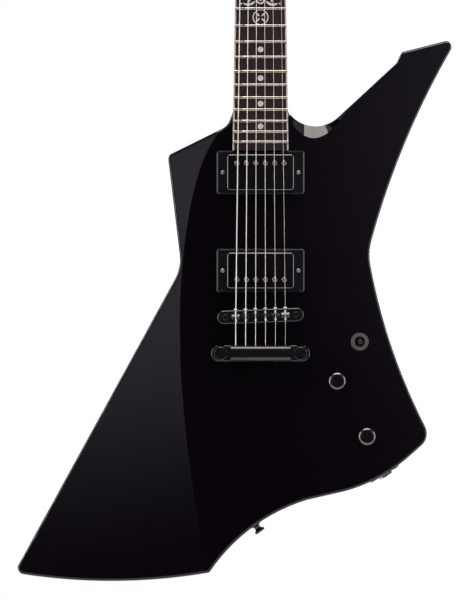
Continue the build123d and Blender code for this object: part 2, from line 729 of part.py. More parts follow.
NUT_HALF = NUT_WIDTH / 2
with BuildPart() as nut:
    nut_high = string_underside(0, 0) + NUT_OVER_STRING
    nut_edge = nut_high - arc_drop(NUT_HALF)
    with BuildSketch(Plane.XY):
        with BuildLine():
            Line((-NUT_HALF, -nut_edge), (-NUT_HALF, -NECK_PROUD))
            Line((-NUT_HALF, -NECK_PROUD), (NUT_HALF, -NECK_PROUD))
            Line((NUT_HALF, -NECK_PROUD), (NUT_HALF, -nut_edge))
            ThreePointArc((NUT_HALF, -nut_edge), (0, -nut_high), (-NUT_HALF, -nut_edge))
        make_face()
    extrude(amount=NUT_THICKNESS)
    fillet(nut.edges().filter_by(GeomType.CIRCLE), 0.6)
    with BuildSketch(Plane.XY):
        for i in STRINGS:
            width = STRING_DIAMETERS[i]
            seat = string_underside(nut_x(i), 0) + width / 2
            with Locations((nut_x(i), -seat)):
                Circle(width / 2)
                Rectangle(width, 4, align=(Align.CENTER, Align.MAX))
    extrude(amount=NUT_THICKNESS, mode=Mode.SUBTRACT)

# ================================================================== bridge
BRIDGE_TOP = BRIDGE_BOTTOM + BRIDGE_HEIGHT
TROUGH_FLOOR = BRIDGE_BOTTOM + BRIDGE_FLOOR
TROUGH_LENGTH = SPREAD_BRIDGE + SADDLE_WIDTH + 3
TROUGH_WIDTH = BRIDGE_WIDTH - 2 * BRIDGE_WALL


def along_bridge(i):
    """Distance of string i from the bridge's middle, along its slanted line."""
    return bridge_x(i) / cos(radians(BRIDGE_SLANT))


def screw_plane(i, height, y):
    """Plane across the bridge at string i, facing up the neck."""
    spot = BRIDGE.from_local_coords((along_bridge(i), y, height))
    return Plane(origin=spot, x_dir=SLANT, z_dir=BRIDGE.y_dir)


with BuildPart() as bridge_body:
    with BuildSketch(BRIDGE.offset(BRIDGE_BOTTOM)):
        SlotOverall(BRIDGE_LENGTH, BRIDGE_WIDTH)
    extrude(amount=BRIDGE_HEIGHT)
    fillet(bridge_body.faces().sort_by(Axis.Y)[0].edges(), 1.6)
    with BuildSketch(BRIDGE.offset(TROUGH_FLOOR)):
        RectangleRounded(TROUGH_LENGTH, TROUGH_WIDTH, 1.2)
    extrude(amount=BRIDGE_HEIGHT, mode=Mode.SUBTRACT)
    with Locations(BRIDGE.offset(BRIDGE_TOP)):
        with GridLocations(BRIDGE_POST_SPAN, 1, 2, 1):
            Hole(POST_DIAMETER / 2 + RUNNING, 2 * BRIDGE_HEIGHT)
    for i in STRINGS:
        with Locations(screw_plane(i, SADDLE_SCREW_HEIGHT, BRIDGE_WIDTH / 2)):
            Hole(SADDLE_SCREW_DIAMETER / 2 + RUNNING, BRIDGE_WIDTH)

with BuildPart() as saddle_screw:
    Cylinder(SADDLE_SCREW_HEAD / 2, 1.5, align=(Align.CENTER, Align.CENTER, Align.MIN))
    fillet(saddle_screw.edges().group_by(Axis.Z)[-1], 0.5)
    with BuildSketch(Plane.XY.offset(1.5)):
        Rectangle(SADDLE_SCREW_HEAD, 0.7)
    extrude(amount=-0.7, mode=Mode.SUBTRACT)
    Cylinder(
        SADDLE_SCREW_DIAMETER / 2, BRIDGE_WIDTH, align=(Align.CENTER, Align.CENTER, Align.MAX)
    )

with BuildPart() as intonation_screws:
    for i in STRINGS:
        with Locations(screw_plane(i, SADDLE_SCREW_HEIGHT, BRIDGE_WIDTH / 2)):
            add(saddle_screw.part)

saddles = []
for i in STRINGS:
    crest = string_underside(bridge_x(i), BRIDGE_Z) + STRING_DIAMETERS[i] * 0.35
    side = Plane(origin=screw_plane(i, 0, 0).origin, x_dir=BRIDGE.y_dir, z_dir=BRIDGE.x_dir)
    with BuildPart() as saddle:
        with BuildSketch(side.offset(-SADDLE_WIDTH / 2)):
            with BuildLine():
                half = SADDLE_LENGTH / 2
                shoulder = BRIDGE_TOP + 0.4
                profile = [(-half, TROUGH_FLOOR + RUNNING), (half, TROUGH_FLOOR + RUNNING), (half, shoulder)]
                profile += [(0.45, crest), (-0.45, crest), (-half, shoulder)]
                Polyline(*profile, close=True)
            make_face()
        extrude(amount=SADDLE_WIDTH)
        chamfer(saddle.faces().sort_by(Axis.Y)[0].edges().filter_by(lambda e: e.length < 2), 0.8)
        with BuildSketch(screw_plane(i, crest, SADDLE_LENGTH)):
            with Locations((0, 0)):
                RegularPolygon(STRING_DIAMETERS[i] * 0.8, 4, rotation=0)
        extrude(amount=-2 * SADDLE_LENGTH, mode=Mode.SUBTRACT)
        with Locations(screw_plane(i, SADDLE_SCREW_HEIGHT, SADDLE_LENGTH)):
            Hole(SADDLE_SCREW_DIAMETER / 2 + RUNNING, 2 * SADDLE_LENGTH)
    saddles.append(saddle)

POST_SEATS = [BRIDGE * Location((s * BRIDGE_POST_SPAN / 2, 0, 0)) for s in (-1, 1)]
STUD_SEATS = [TAIL * Location((s * TAIL_STUD_SPAN / 2, 0, 0)) for s in (-1, 1)]
MIN_Z = (Align.CENTER, Align.CENTER, Align.MIN)
MAX_Z = (Align.CENTER, Align.CENTER, Align.MAX)

with BuildPart() as post:
    Cylinder(STUD_SHANK / 2, BUSHING_DEPTH - 2, align=MAX_Z)
    with Locations((0, 0, -0.5)):
        Cylinder(POST_DIAMETER / 2, POST_TOP + 0.5, align=MIN_Z)
    fillet(post.edges().group_by(Axis.Z)[-1], 0.6)
    with BuildSketch(Plane.XY.offset(POST_TOP)):
        Rectangle(POST_DIAMETER, 1.2)
    extrude(amount=-1.4, mode=Mode.SUBTRACT)

with BuildPart() as bridge_posts:
    with Locations(*POST_SEATS):
        add(post.part)

with BuildPart() as bridge_thumbwheels:
    with Locations(*[seat * Location((0, 0, BRIDGE_BOTTOM)) for seat in POST_SEATS]):
        with BuildPart(mode=Mode.PRIVATE) as wheel:
            Cylinder(THUMBWHEEL_DIAMETER / 2, THUMBWHEEL_THICKNESS, align=MAX_Z)
            with PolarLocations(THUMBWHEEL_DIAMETER / 2, 24):
                Cylinder(0.5, THUMBWHEEL_THICKNESS, align=MAX_Z, mode=Mode.SUBTRACT)
            Hole(POST_DIAMETER / 2 + RUNNING, THUMBWHEEL_THICKNESS)
        add(wheel.part)

with BuildPart() as bushing:
    Cylinder(BUSHING_DIAMETER / 2, BUSHING_DEPTH, align=MAX_Z)
    Cylinder(BUSHING_FLANGE / 2, BUSHING_RIM, align=MIN_Z)
    Cylinder(STUD_SHANK / 2 + RUNNING, 2 * BUSHING_DEPTH - 4, mode=Mode.SUBTRACT)

with BuildPart() as stud_bushings:
    with Locations(*POST_SEATS, *STUD_SEATS):
        add(bushing.part)

# ================================================================== stop bar
LOBE_TOP = TAIL_BOTTOM + TAIL_LOBE_THICKNESS
with BuildPart() as tailpiece:
    with BuildSketch(TAIL.offset(TAIL_BOTTOM)):
        SlotOverall(TAIL_LENGTH, TAIL_WIDTH)
    extrude(amount=TAIL_LOBE_THICKNESS)
    fillet(tailpiece.faces().sort_by(Axis.Y)[0].edges(), 1.4)
    bar_start = Plane(origin=(-TAIL_BAR_LENGTH / 2, 0, TAIL_Z), x_dir=(0, 0, 1), z_dir=(1, 0, 0))
    with BuildSketch(bar_start):
        with Locations((0, TAIL_BOTTOM + TAIL_BAR_THICKNESS / 2)):
            RectangleRounded(TAIL_WIDTH - 0.4, TAIL_BAR_THICKNESS, TAIL_BAR_THICKNESS / 2 - 0.3)
    extrude(amount=TAIL_BAR_LENGTH)
    for side in (-1, 1):
        with BuildSketch(TAIL.offset(TAIL_BOTTOM)):
            with Locations((side * TAIL_STUD_SPAN / 2, 0)):
                Circle(STUD_NECK / 2 + RUNNING)
                Rectangle(STUD_NECK + 2 * RUNNING, TAIL_WIDTH, align=(Align.CENTER, Align.MIN))
        extrude(amount=TAIL_LOBE_THICKNESS, mode=Mode.SUBTRACT)
    for i in STRINGS:
        hole_plane = Plane(origin=(bridge_x(i), -TAIL_HOLE_HEIGHT, TAIL_Z + TAIL_WIDTH), z_dir=(0, 0, 1))
        with Locations(hole_plane):
            Hole(TAIL_HOLE_DIAMETER / 2, 2 * TAIL_WIDTH)
        with Locations(hole_plane.offset(-1.4 * TAIL_WIDTH)):
            Hole(BALL_DIAMETER / 2 + 0.3, TAIL_WIDTH)

with BuildPart() as stud:
    with Locations((0, 0, LOBE_TOP + RUNNING)):
        Cylinder(STUD_HEAD / 2, STUD_HEAD_HEIGHT, align=MIN_Z)
    fillet(stud.edges().group_by(Axis.Z)[-1], 0.9)
    with BuildSketch(Plane.XY.offset(LOBE_TOP + STUD_HEAD_HEIGHT + RUNNING)):
        Rectangle(STUD_HEAD, 1.8)
    extrude(amount=-1.8, mode=Mode.SUBTRACT)
    with Locations((0, 0, LOBE_TOP + 1)):
        Cylinder(STUD_NECK / 2, TAIL_LOBE_THICKNESS + 1.4, align=MAX_Z)
    with Locations((0, 0, TAIL_BOTTOM - RUNNING)):
        Cylinder(BUSHING_DIAMETER / 2, 1.4, align=MAX_Z)
    with Locations((0, 0, TAIL_BOTTOM - 1)):
        Cylinder(STUD_SHANK / 2, BUSHING_DEPTH - 4, align=MAX_Z)

with BuildPart() as tailpiece_studs:
    with Locations(*STUD_SEATS):
        add(stud.part)

# ================================================================== pickups


def pole_spots(side):
    """Places of the six poles on one side of a pickup."""
    return [(POLE_SPREAD * (i / 5 - 0.5), side * POLE_ROW) for i in STRINGS]


def pickup_top(seat):
    """Height of a pickup's cover over the body's front face."""
    return string_underside(0, seat.origin.Z) - PICKUP_TO_STRING


def ring_height(seat):
    """Height of the ring around a pickup."""
    return RING_NECK_HEIGHT if seat is NECK_PICKUP else RING_BRIDGE_HEIGHT


def make_cover(seat, screw_side):
    """Drawn metal cover with a row of holes for the pole screws."""
    top = pickup_top(seat)
    with BuildPart() as cover:
        with BuildSketch(seat.offset(top - PICKUP_HEIGHT)):
            RectangleRounded(PICKUP_LENGTH, PICKUP_WIDTH, PICKUP_CORNER)
        extrude(amount=PICKUP_HEIGHT)
        fillet(cover.faces().sort_by(Axis.Y)[0].edges(), PICKUP_EDGE)
        with BuildSketch(seat.offset(top - PICKUP_HEIGHT)):
            wall = 2 * PICKUP_WALL
            RectangleRounded(PICKUP_LENGTH - wall, PICKUP_WIDTH - wall, PICKUP_CORNER - PICKUP_WALL)
        extrude(amount=PICKUP_HEIGHT - PICKUP_WALL - PICKUP_EDGE / 2, mode=Mode.SUBTRACT)
        with Locations(seat.offset(top)):
            with Locations(*pole_spots(screw_side)):
                Hole(POLE_DIAMETER / 2 + 0.15, PICKUP_HEIGHT)
    return cover


def make_core(seat):
    """Base plate with its two tabs, both bobbins and the bar magnet between them."""
    low = pickup_top(seat) - PICKUP_HEIGHT
    with BuildPart() as core:
        with BuildSketch(seat.offset(low)):
            RectangleRounded(PICKUP_LENGTH - 2, PICKUP_WIDTH - 2, PICKUP_CORNER - 1)
            SlotOverall(HEIGHT_SCREW_SPAN + 7, 8)
        extrude(amount=-BASE_PLATE)
        with BuildSketch(seat.offset(low)):
            with Locations((0, POLE_ROW), (0, -POLE_ROW)):
                RectangleRounded(PICKUP_LENGTH - 3, 2 * POLE_ROW - 2.4, 3)
            Rectangle(PICKUP_LENGTH - 12, 4)
        extrude(amount=BOBBIN_HEIGHT)
        with Locations(seat.offset(low + BOBBIN_HEIGHT)):
            with Locations(*pole_spots(1), *pole_spots(-1)):
                Hole(POLE_SHANK / 2 + RUNNING, 2 * PICKUP_HEIGHT)
            with GridLocations(HEIGHT_SCREW_SPAN, 1, 2, 1):
                Hole(HEIGHT_SCREW_SHANK / 2 + RUNNING, 2 * PICKUP_HEIGHT)
    return core


def make_poles(seat, screw_side):
    """Row of slotted pole screws that show, and row of plain slugs under the cover."""
    top = pickup_top(seat)
    low = top - PICKUP_HEIGHT
    with BuildPart() as poles:
        with BuildSketch(seat.offset(low - BASE_PLATE)):
            with Locations(*pole_spots(1), *pole_spots(-1)):
                Circle(POLE_SHANK / 2)
        extrude(amount=BASE_PLATE + BOBBIN_HEIGHT + 1)
        with BuildSketch(seat.offset(low + BOBBIN_HEIGHT + 0.3)):
            with Locations(*pole_spots(screw_side)):
                Circle(POLE_DIAMETER / 2)
        extrude(amount=PICKUP_HEIGHT - BOBBIN_HEIGHT - 0.3 + POLE_PROUD)
        fillet(poles.faces().group_by(Axis.Y)[0].edges(), 0.4)
        with BuildSketch(seat.offset(top + POLE_PROUD)):
            with Locations(*pole_spots(screw_side)):
                Rectangle(POLE_DIAMETER, 0.9, rotation=20)
        extrude(amount=-0.8, mode=Mode.SUBTRACT)
    return poles


neck_pickup_cover = make_cover(NECK_PICKUP, 1)
neck_pickup_core = make_core(NECK_PICKUP)
neck_pickup_poles = make_poles(NECK_PICKUP, 1)
bridge_pickup_cover = make_cover(BRIDGE_PICKUP, -1)
bridge_pickup_core = make_core(BRIDGE_PICKUP)
bridge_pickup_poles = make_poles(BRIDGE_PICKUP, -1)

with BuildPart() as pickup_rings:
    for seat in (NECK_PICKUP, BRIDGE_PICKUP):
        with BuildPart(mode=Mode.PRIVATE) as ring:
            with BuildSketch(seat):
                RectangleRounded(RING_LENGTH, RING_WIDTH, RING_CORNER)
            extrude(amount=ring_height(seat))
            chamfer(ring.faces().sort_by(Axis.Y)[0].edges(), RING_EDGE)
            with BuildSketch(seat):
                window = 2 * PICKUP_TO_RING
                rounding = PICKUP_CORNER + PICKUP_TO_RING
                RectangleRounded(PICKUP_LENGTH + window, PICKUP_WIDTH + window, rounding)
            extrude(amount=ring_height(seat), mode=Mode.SUBTRACT)
            with Locations(seat.offset(ring_height(seat))):
                with GridLocations(RING_SCREW_SPAN_X, RING_SCREW_SPAN_Z, 2, 2):
                    CounterSinkHole(SCREW_SHANK / 2, SCREW_HEAD / 2 + 0.1)
                with GridLocations(HEIGHT_SCREW_SPAN, 1, 2, 1):
                    Hole(HEIGHT_SCREW_SHANK / 2 + RUNNING)
        add(ring.part)

with BuildPart() as pickup_height_screws:
    for seat in (NECK_PICKUP, BRIDGE_PICKUP):
        with BuildPart(mode=Mode.PRIVATE) as height_screw:
            Cylinder(HEIGHT_SCREW_HEAD / 2, 1.8, align=MIN_Z)
            fillet(height_screw.edges().group_by(Axis.Z)[-1], 0.8)
            with BuildSketch(Plane.XY.offset(1.8)):
                Rectangle(HEIGHT_SCREW_HEAD, 0.9)
            extrude(amount=-0.9, mode=Mode.SUBTRACT)
            Cylinder(HEIGHT_SCREW_SHANK / 2, HEIGHT_SCREW_LENGTH, align=MAX_Z)
        with Locations(seat.offset(ring_height(seat))):
            with GridLocations(HEIGHT_SCREW_SPAN, 1, 2, 1):
                add(height_screw.part)

with BuildPart() as pickup_springs:
    for seat in (NECK_PICKUP, BRIDGE_PICKUP):
        gap = PICKUP_HEIGHT - pickup_top(seat) - 2 * RUNNING - SPRING_WIRE
        with BuildPart(mode=Mode.PRIVATE) as spring:
            coil = Helix(gap / SPRING_TURNS, gap, HEIGHT_SCREW_SHANK / 2 + SPRING_WIRE)
            with BuildSketch(Plane(origin=coil @ 0, z_dir=coil % 0)):
                Circle(SPRING_WIRE / 2)
            sweep(path=coil, is_frenet=True)
        with Locations(seat.offset(-gap - SPRING_WIRE / 2 - RUNNING)):
            with GridLocations(HEIGHT_SCREW_SPAN, 1, 2, 1):
                add(spring.part)

# ================================================================== controls


def make_knob(spot):
    """Domed metal knob, hollow below and bored for its shaft."""
    with BuildPart() as knob:
        with BuildSketch(facing_front(*spot, KNOB_GAP)):
            Circle(KNOB_DIAMETER / 2)
        extrude(amount=KNOB_HEIGHT)
        rim = (KNOB_DIAMETER - KNOB_TOP_DIAMETER) / 2
        fillet(knob.faces().sort_by(Axis.Y)[0].edges(), rim)
        fillet(knob.faces().sort_by(Axis.Y)[-1].edges(), 0.4)
        with BuildSketch(facing_front(*spot, KNOB_GAP)):
            Circle(KNOB_DIAMETER / 2 - KNOB_WALL)
        extrude(amount=KNOB_SKIRT_DEPTH, mode=Mode.SUBTRACT)
        with BuildSketch(facing_front(*spot, KNOB_GAP)):
            Circle(POT_SHAFT / 2)
        extrude(amount=KNOB_HEIGHT - KNOB_WALL, mode=Mode.SUBTRACT)
        side_hole = Plane(origin=(spot[0], -KNOB_GAP - 8, spot[1] - KNOB_DIAMETER / 2), z_dir=(0, 0, -1))
        with Locations(side_hole):
            Hole(1.3, KNOB_DIAMETER / 2)
    return knob


def make_shaft(spot):
    """Shaft of a pot, from inside its case up into the knob."""
    with BuildPart() as shaft:
        with BuildSketch(facing_front(*spot, KNOB_GAP + KNOB_HEIGHT - KNOB_WALL - 1)):
            Circle(POT_SHAFT / 2)
        extrude(amount=-(KNOB_GAP + KNOB_HEIGHT - KNOB_WALL - 1 + TOP_OVER_CAVITY + 2))
    return shaft


volume_knob = make_knob(VOLUME_AT)
tone_knob = make_knob(TONE_AT)
volume_shaft = make_shaft(VOLUME_AT)
tone_shaft = make_shaft(TONE_AT)
BUSHING_TOP = WASHER_THICKNESS + PANEL_NUT_HEIGHT + 0.8

with BuildPart() as control_pots:
    for spot in (VOLUME_AT, TONE_AT):
        with BuildSketch(facing_front(*spot, -TOP_OVER_CAVITY)):
            Circle(POT_DIAMETER / 2)
            with Locations((0, 2 - POT_DIAMETER / 2)):
                Rectangle(12, 8, align=(Align.CENTER, Align.MAX))
        extrude(amount=-POT_HEIGHT)
        with BuildSketch(facing_front(*spot, -TOP_OVER_CAVITY)):
            Circle(POT_BUSHING / 2)
        extrude(amount=TOP_OVER_CAVITY + BUSHING_TOP)
        with BuildSketch(facing_front(*spot, BUSHING_TOP)):
            Circle(POT_SHAFT / 2 + RUNNING)
        extrude(amount=-(BUSHING_TOP + TOP_OVER_CAVITY + 2 + RUNNING), mode=Mode.SUBTRACT)

SWITCH_TOP = WASHER_THICKNESS + SWITCH_NUT_HEIGHT + 0.6
with BuildPart() as switch_body:
    with BuildSketch(facing_front(*SWITCH_AT, -TOP_OVER_CAVITY)):
        Rectangle(SWITCH_CASE_WIDTH, SWITCH_CASE_LENGTH)
    extrude(amount=-SWITCH_CASE_DEPTH)
    with BuildSketch(facing_front(*SWITCH_AT, SWITCH_TOP)):
        Circle(SWITCH_BUSHING / 2)
    extrude(amount=-(SWITCH_TOP + TOP_OVER_CAVITY))
    with BuildSketch(facing_front(*SWITCH_AT, SWITCH_TOP)):
        Circle(SWITCH_BORE / 2)
    extrude(amount=-(SWITCH_TOP + TOP_OVER_CAVITY), mode=Mode.SUBTRACT)
    with BuildSketch(facing_front(*SWITCH_AT, -TOP_OVER_CAVITY)):
        Rectangle(SWITCH_BORE, SWITCH_CASE_LENGTH - 8)
    extrude(amount=-SWITCH_CASE_DEPTH / 2, mode=Mode.SUBTRACT)

with BuildPart() as switch_lever:
    with BuildSketch(facing_front(*SWITCH_AT, SWITCH_REACH - 3)):
        Circle(SWITCH_LEVER / 2)
    extrude(amount=-(SWITCH_REACH - 3 + SWITCH_PIVOT_DEPTH + 7))
    with Locations((SWITCH_AT[0], SWITCH_PIVOT_DEPTH, SWITCH_AT[1])):
        Sphere(2.6)

with BuildPart() as switch_tip:
    with BuildSketch(facing_front(*SWITCH_AT, SWITCH_REACH)):
        Circle(SWITCH_TIP_DIAMETER / 2)
    extrude(amount=-11, taper=2)
    fillet(switch_tip.faces().sort_by(Axis.Y)[0].edges(), 2.2)
    with BuildSketch(facing_front(*SWITCH_AT, SWITCH_REACH - 3)):
        Circle(SWITCH_LEVER / 2)
    extrude(amount=-12, mode=Mode.SUBTRACT)


def make_washer(plane, outer, inner, thickness):
    """Flat washer, or any plain ring, standing on a plane."""
    with BuildPart() as washer:
        with BuildSketch(plane):
            Circle(outer / 2)
            Circle(inner / 2, mode=Mode.SUBTRACT)
        extrude(amount=thickness)
        fillet(washer.faces().sort_by_distance(plane.offset(thickness).origin)[0].edges(), thickness / 4)
    return washer.part


def make_nut(plane, across, inner, height):
    """Hexagon nut standing on a plane."""
    with BuildPart() as hex_nut:
        with BuildSketch(plane):
            RegularPolygon(across / 2, 6, major_radius=False)
            Circle(inner / 2, mode=Mode.SUBTRACT)
        extrude(amount=height)
    return hex_nut.part


with BuildPart() as panel_nuts:
    for spot in (VOLUME_AT, TONE_AT):
        add(make_washer(facing_front(*spot), POT_NUT + 2, POT_BUSHING, WASHER_THICKNESS))
        add(make_nut(facing_front(*spot, WASHER_THICKNESS + RUNNING), POT_NUT, POT_BUSHING, PANEL_NUT_HEIGHT))
    add(make_washer(facing_front(*SWITCH_AT), SWITCH_WASHER, SWITCH_BUSHING, WASHER_THICKNESS))
    switch_seat = facing_front(*SWITCH_AT, WASHER_THICKNESS + RUNNING)
    add(make_washer(switch_seat, SWITCH_NUT, SWITCH_BUSHING, SWITCH_NUT_HEIGHT))
    add(make_washer(JACK.offset(JACK_PLATE_THICKNESS), JACK_NUT + 2, JACK_NOSE, WASHER_THICKNESS))
    jack_seat = JACK.offset(JACK_PLATE_THICKNESS + WASHER_THICKNESS + RUNNING)
    add(make_nut(jack_seat, JACK_NUT, JACK_NOSE, PANEL_NUT_HEIGHT))

with BuildPart() as jack_plate:
    with BuildSketch(JACK):
        RectangleRounded(JACK_PLATE_LENGTH, JACK_PLATE_WIDTH, 4)
        Circle(JACK_NOSE / 2 + RUNNING, mode=Mode.SUBTRACT)
    extrude(amount=JACK_PLATE_THICKNESS)
    with Locations(JACK.offset(JACK_PLATE_THICKNESS)):
        with GridLocations(JACK_PLATE_LENGTH - JACK_SCREW_INSET, JACK_PLATE_WIDTH - JACK_SCREW_INSET, 2, 2):
            CounterSinkHole(SCREW_SHANK / 2, SCREW_HEAD / 2 + 0.1)

with BuildPart() as jack_socket:
    with BuildSketch(JACK):
        Circle(JACK_BARREL / 2)
    extrude(amount=-JACK_BARREL_LENGTH)
    with BuildSketch(JACK):
        Circle(JACK_NOSE / 2)
    extrude(amount=JACK_PLATE_THICKNESS + WASHER_THICKNESS + PANEL_NUT_HEIGHT + 0.6)
    jack_mouth = JACK.offset(JACK_PLATE_THICKNESS + WASHER_THICKNESS + PANEL_NUT_HEIGHT + 0.6)
    with BuildSketch(jack_mouth):
        Circle(JACK_BORE / 2)
    extrude(amount=-JACK_BARREL_LENGTH, mode=Mode.SUBTRACT)

with BuildPart() as control_cover:
    extrude(cavity_plan(-BODY_THICKNESS, COVER_LIP - COVER_GAP), amount=COVER_THICKNESS)
    with Locations(*[facing_back(*spot) for spot in COVER_SCREWS]):
        CounterSinkHole(SCREW_SHANK / 2, SCREW_HEAD / 2 + 0.1, COVER_THICKNESS)

with BuildPart() as truss_rod_cover:
    with BuildSketch(HEAD):
        with BuildLine():
            Polyline((-11, 2), (11, 2), (9, 24), (0, 36), (-9, 24), close=True)
        make_face()
        fillet(vertices(), 2)
    extrude(amount=ROD_COVER_THICKNESS)
    cover_top = HEAD.offset(ROD_COVER_THICKNESS).origin + HEAD.y_dir * 15
    fillet(truss_rod_cover.faces().sort_by_distance(cover_top)[0].edges(), 0.5)
    with BuildSketch(HEAD):
        with Locations((0, 4.5)):
            Rectangle(9, 16, align=(Align.CENTER, Align.MIN))
    extrude(amount=1.2, mode=Mode.SUBTRACT)
    with Locations(HEAD.offset(ROD_COVER_THICKNESS)):
        with Locations((0, ROD_COVER_SCREW)):
            CounterSinkHole(SCREW_SHANK / 2, SCREW_HEAD / 2 + 0.1, ROD_COVER_THICKNESS)

# ================================================================== strap buttons and screws
with BuildPart() as button:
    with BuildSketch(Plane.XZ):
        with BuildLine():
            base, neck_r, head_r = BUTTON_BASE / 2, BUTTON_NECK / 2, BUTTON_HEAD / 2
            Polyline((BUTTON_SCREW_SHANK / 2, 0), (base, 0), (base, 1.2), (neck_r + 0.8, 2.2))
            SagittaArc((neck_r + 0.8, 2.2), (head_r - 0.4, BUTTON_HEIGHT - 2.4), 1.6)
            Polyline(
                (head_r - 0.4, BUTTON_HEIGHT - 2.4),
                (head_r, BUTTON_HEIGHT - 1.6),
                (head_r - 0.8, BUTTON_HEIGHT),
                (BUTTON_SCREW_HEAD / 2 + 0.1, BUTTON_HEIGHT),
                (BUTTON_SCREW_SHANK / 2, BUTTON_HEIGHT - 1.5),
                (BUTTON_SCREW_SHANK / 2, 0),
            )
        make_face()
    revolve(axis=Axis.Z)

with BuildPart() as strap_buttons:
    with Locations(LOWER_BUTTON, UPPER_BUTTON):
        add(button.part)


def wood_screw(head, shank, length):
    """Countersunk wood screw with a cross recess, its head's rim in the XY plane."""
    with BuildPart() as screw:
        with BuildSketch(Plane.XZ):
            with BuildLine():
                cone = (head - shank) / 2
                Polyline((0, -length), (shank / 2, -length + shank), (shank / 2, -cone), (head / 2, 0))
                ThreePointArc((head / 2, 0), (head / 4, 0.25), (0, 0.35))
                Line((0, 0.35), (0, -length))
            make_face()
        revolve(axis=Axis.Z)
        with BuildSketch(Plane.XY.offset(0.4)):
            Rectangle(head * 0.6, head * 0.14)
            Rectangle(head * 0.14, head * 0.6)
        extrude(amount=-head * 0.35, mode=Mode.SUBTRACT)
    return screw.part


small_screw = wood_screw(SCREW_HEAD, SCREW_SHANK, SCREW_LENGTH)
button_screw = wood_screw(BUTTON_SCREW_HEAD, BUTTON_SCREW_SHANK, BUTTON_SCREW_LENGTH)
heel_screw = wood_screw(BUTTON_SCREW_HEAD, BUTTON_SCREW_SHANK, BUTTON_SCREW_LENGTH - 6)
with BuildPart() as mounting_screws:
    for seat in (NECK_PICKUP, BRIDGE_PICKUP):
        with Locations(seat.offset(ring_height(seat))):
            with GridLocations(RING_SCREW_SPAN_X, RING_SCREW_SPAN_Z, 2, 2):
                add(small_screw)
    with Locations(JACK.offset(JACK_PLATE_THICKNESS)):
        with GridLocations(JACK_PLATE_LENGTH - JACK_SCREW_INSET, JACK_PLATE_WIDTH - JACK_SCREW_INSET, 2, 2):
            add(small_screw)
    with Locations(*[facing_back(*spot) for spot in COVER_SCREWS]):
        add(small_screw)
    with Locations(HEAD.offset(ROD_COVER_THICKNESS)):
        with Locations((0, ROD_COVER_SCREW)):
            add(small_screw)
    with Locations(LOWER_BUTTON.offset(BUTTON_HEIGHT)):
        add(button_screw)
    with Locations(UPPER_BUTTON.offset(BUTTON_HEIGHT)):
        add(heel_screw)

# ================================================================== machine heads
CASE_TOP = -HEAD_THICKNESS
CASE_LOW = CASE_TOP - TUNER_CASE_DEPTH
GEAR_LEVEL = CASE_TOP - TUNER_CASE_DEPTH / 2
WORM_OFFSET = (WHEEL_DIAMETER + WORM_DIAMETER) / 2 + GEAR_GAP
CASE_SHIFT = WORM_OFFSET / 2


def head_plane(x, y, z=0.0):
    """Plane parallel to the headstock's face, at a point given in the headstock's own axes."""
    return Plane(origin=HEAD.from_local_coords((x, y, z)), x_dir=HEAD.x_dir, z_dir=HEAD.z_dir)


def across_head(x, y, z, side):
    """Plane square to the headstock's width, facing out on one side."""
    return Plane(origin=HEAD.from_local_coords((x, y, z)), x_dir=HEAD.y_dir, z_dir=HEAD.x_dir * side)


def make_tuner_case(x, y):
    """Closed case behind the headstock that holds the worm and the wheel."""
    side = 1 if x > 0 else -1
    with BuildPart() as case:
        with BuildSketch(head_plane(x, y - CASE_SHIFT, CASE_TOP)):
            RectangleRounded(TUNER_CASE_WIDTH, TUNER_CASE_LENGTH, 3)
        extrude(amount=-TUNER_CASE_DEPTH)
        fillet(case.faces().sort_by(Axis.Y)[-1].edges(), 1.5)
        with BuildSketch(head_plane(x, y - CASE_SHIFT, CASE_TOP - TUNER_WALL)):
            RectangleRounded(TUNER_CASE_WIDTH - 2 * TUNER_WALL, TUNER_CASE_LENGTH - 2 * TUNER_WALL, 1.5)
        extrude(amount=2 * TUNER_WALL - TUNER_CASE_DEPTH, mode=Mode.SUBTRACT)
        with BuildSketch(head_plane(x, y, CASE_TOP)):
            Circle(TUNER_POST_DIAMETER / 2 + RUNNING)
        extrude(amount=-TUNER_CASE_DEPTH, mode=Mode.SUBTRACT)
        with BuildSketch(across_head(x, y - WORM_OFFSET, GEAR_LEVEL, side)):
            Circle(KEY_SHAFT_DIAMETER / 2 + RUNNING)
        extrude(amount=TUNER_CASE_WIDTH, mode=Mode.SUBTRACT)
    return case.part


def make_tuner_bushing(x, y):
    """Threaded sleeve with its washer and hexagon head, on the headstock's face."""
    with BuildPart() as sleeve:
        with BuildSketch(head_plane(x, y)):
            Circle(TUNER_FLANGE_DIAMETER / 2)
        extrude(amount=0.9)
        with BuildSketch(head_plane(x, y)):
            RegularPolygon(TUNER_BUSHING_DIAMETER / 2 + 0.6, 6, major_radius=False)
        extrude(amount=TUNER_FLANGE_HEIGHT)
        with BuildSketch(head_plane(x, y)):
            Circle(TUNER_BUSHING_DIAMETER / 2)
        extrude(amount=-(HEAD_THICKNESS - 1))
        with BuildSketch(head_plane(x, y, TUNER_FLANGE_HEIGHT)):
            Circle(TUNER_POST_DIAMETER / 2 + RUNNING)
        extrude(amount=-(HEAD_THICKNESS + TUNER_FLANGE_HEIGHT), mode=Mode.SUBTRACT)
    return sleeve.part


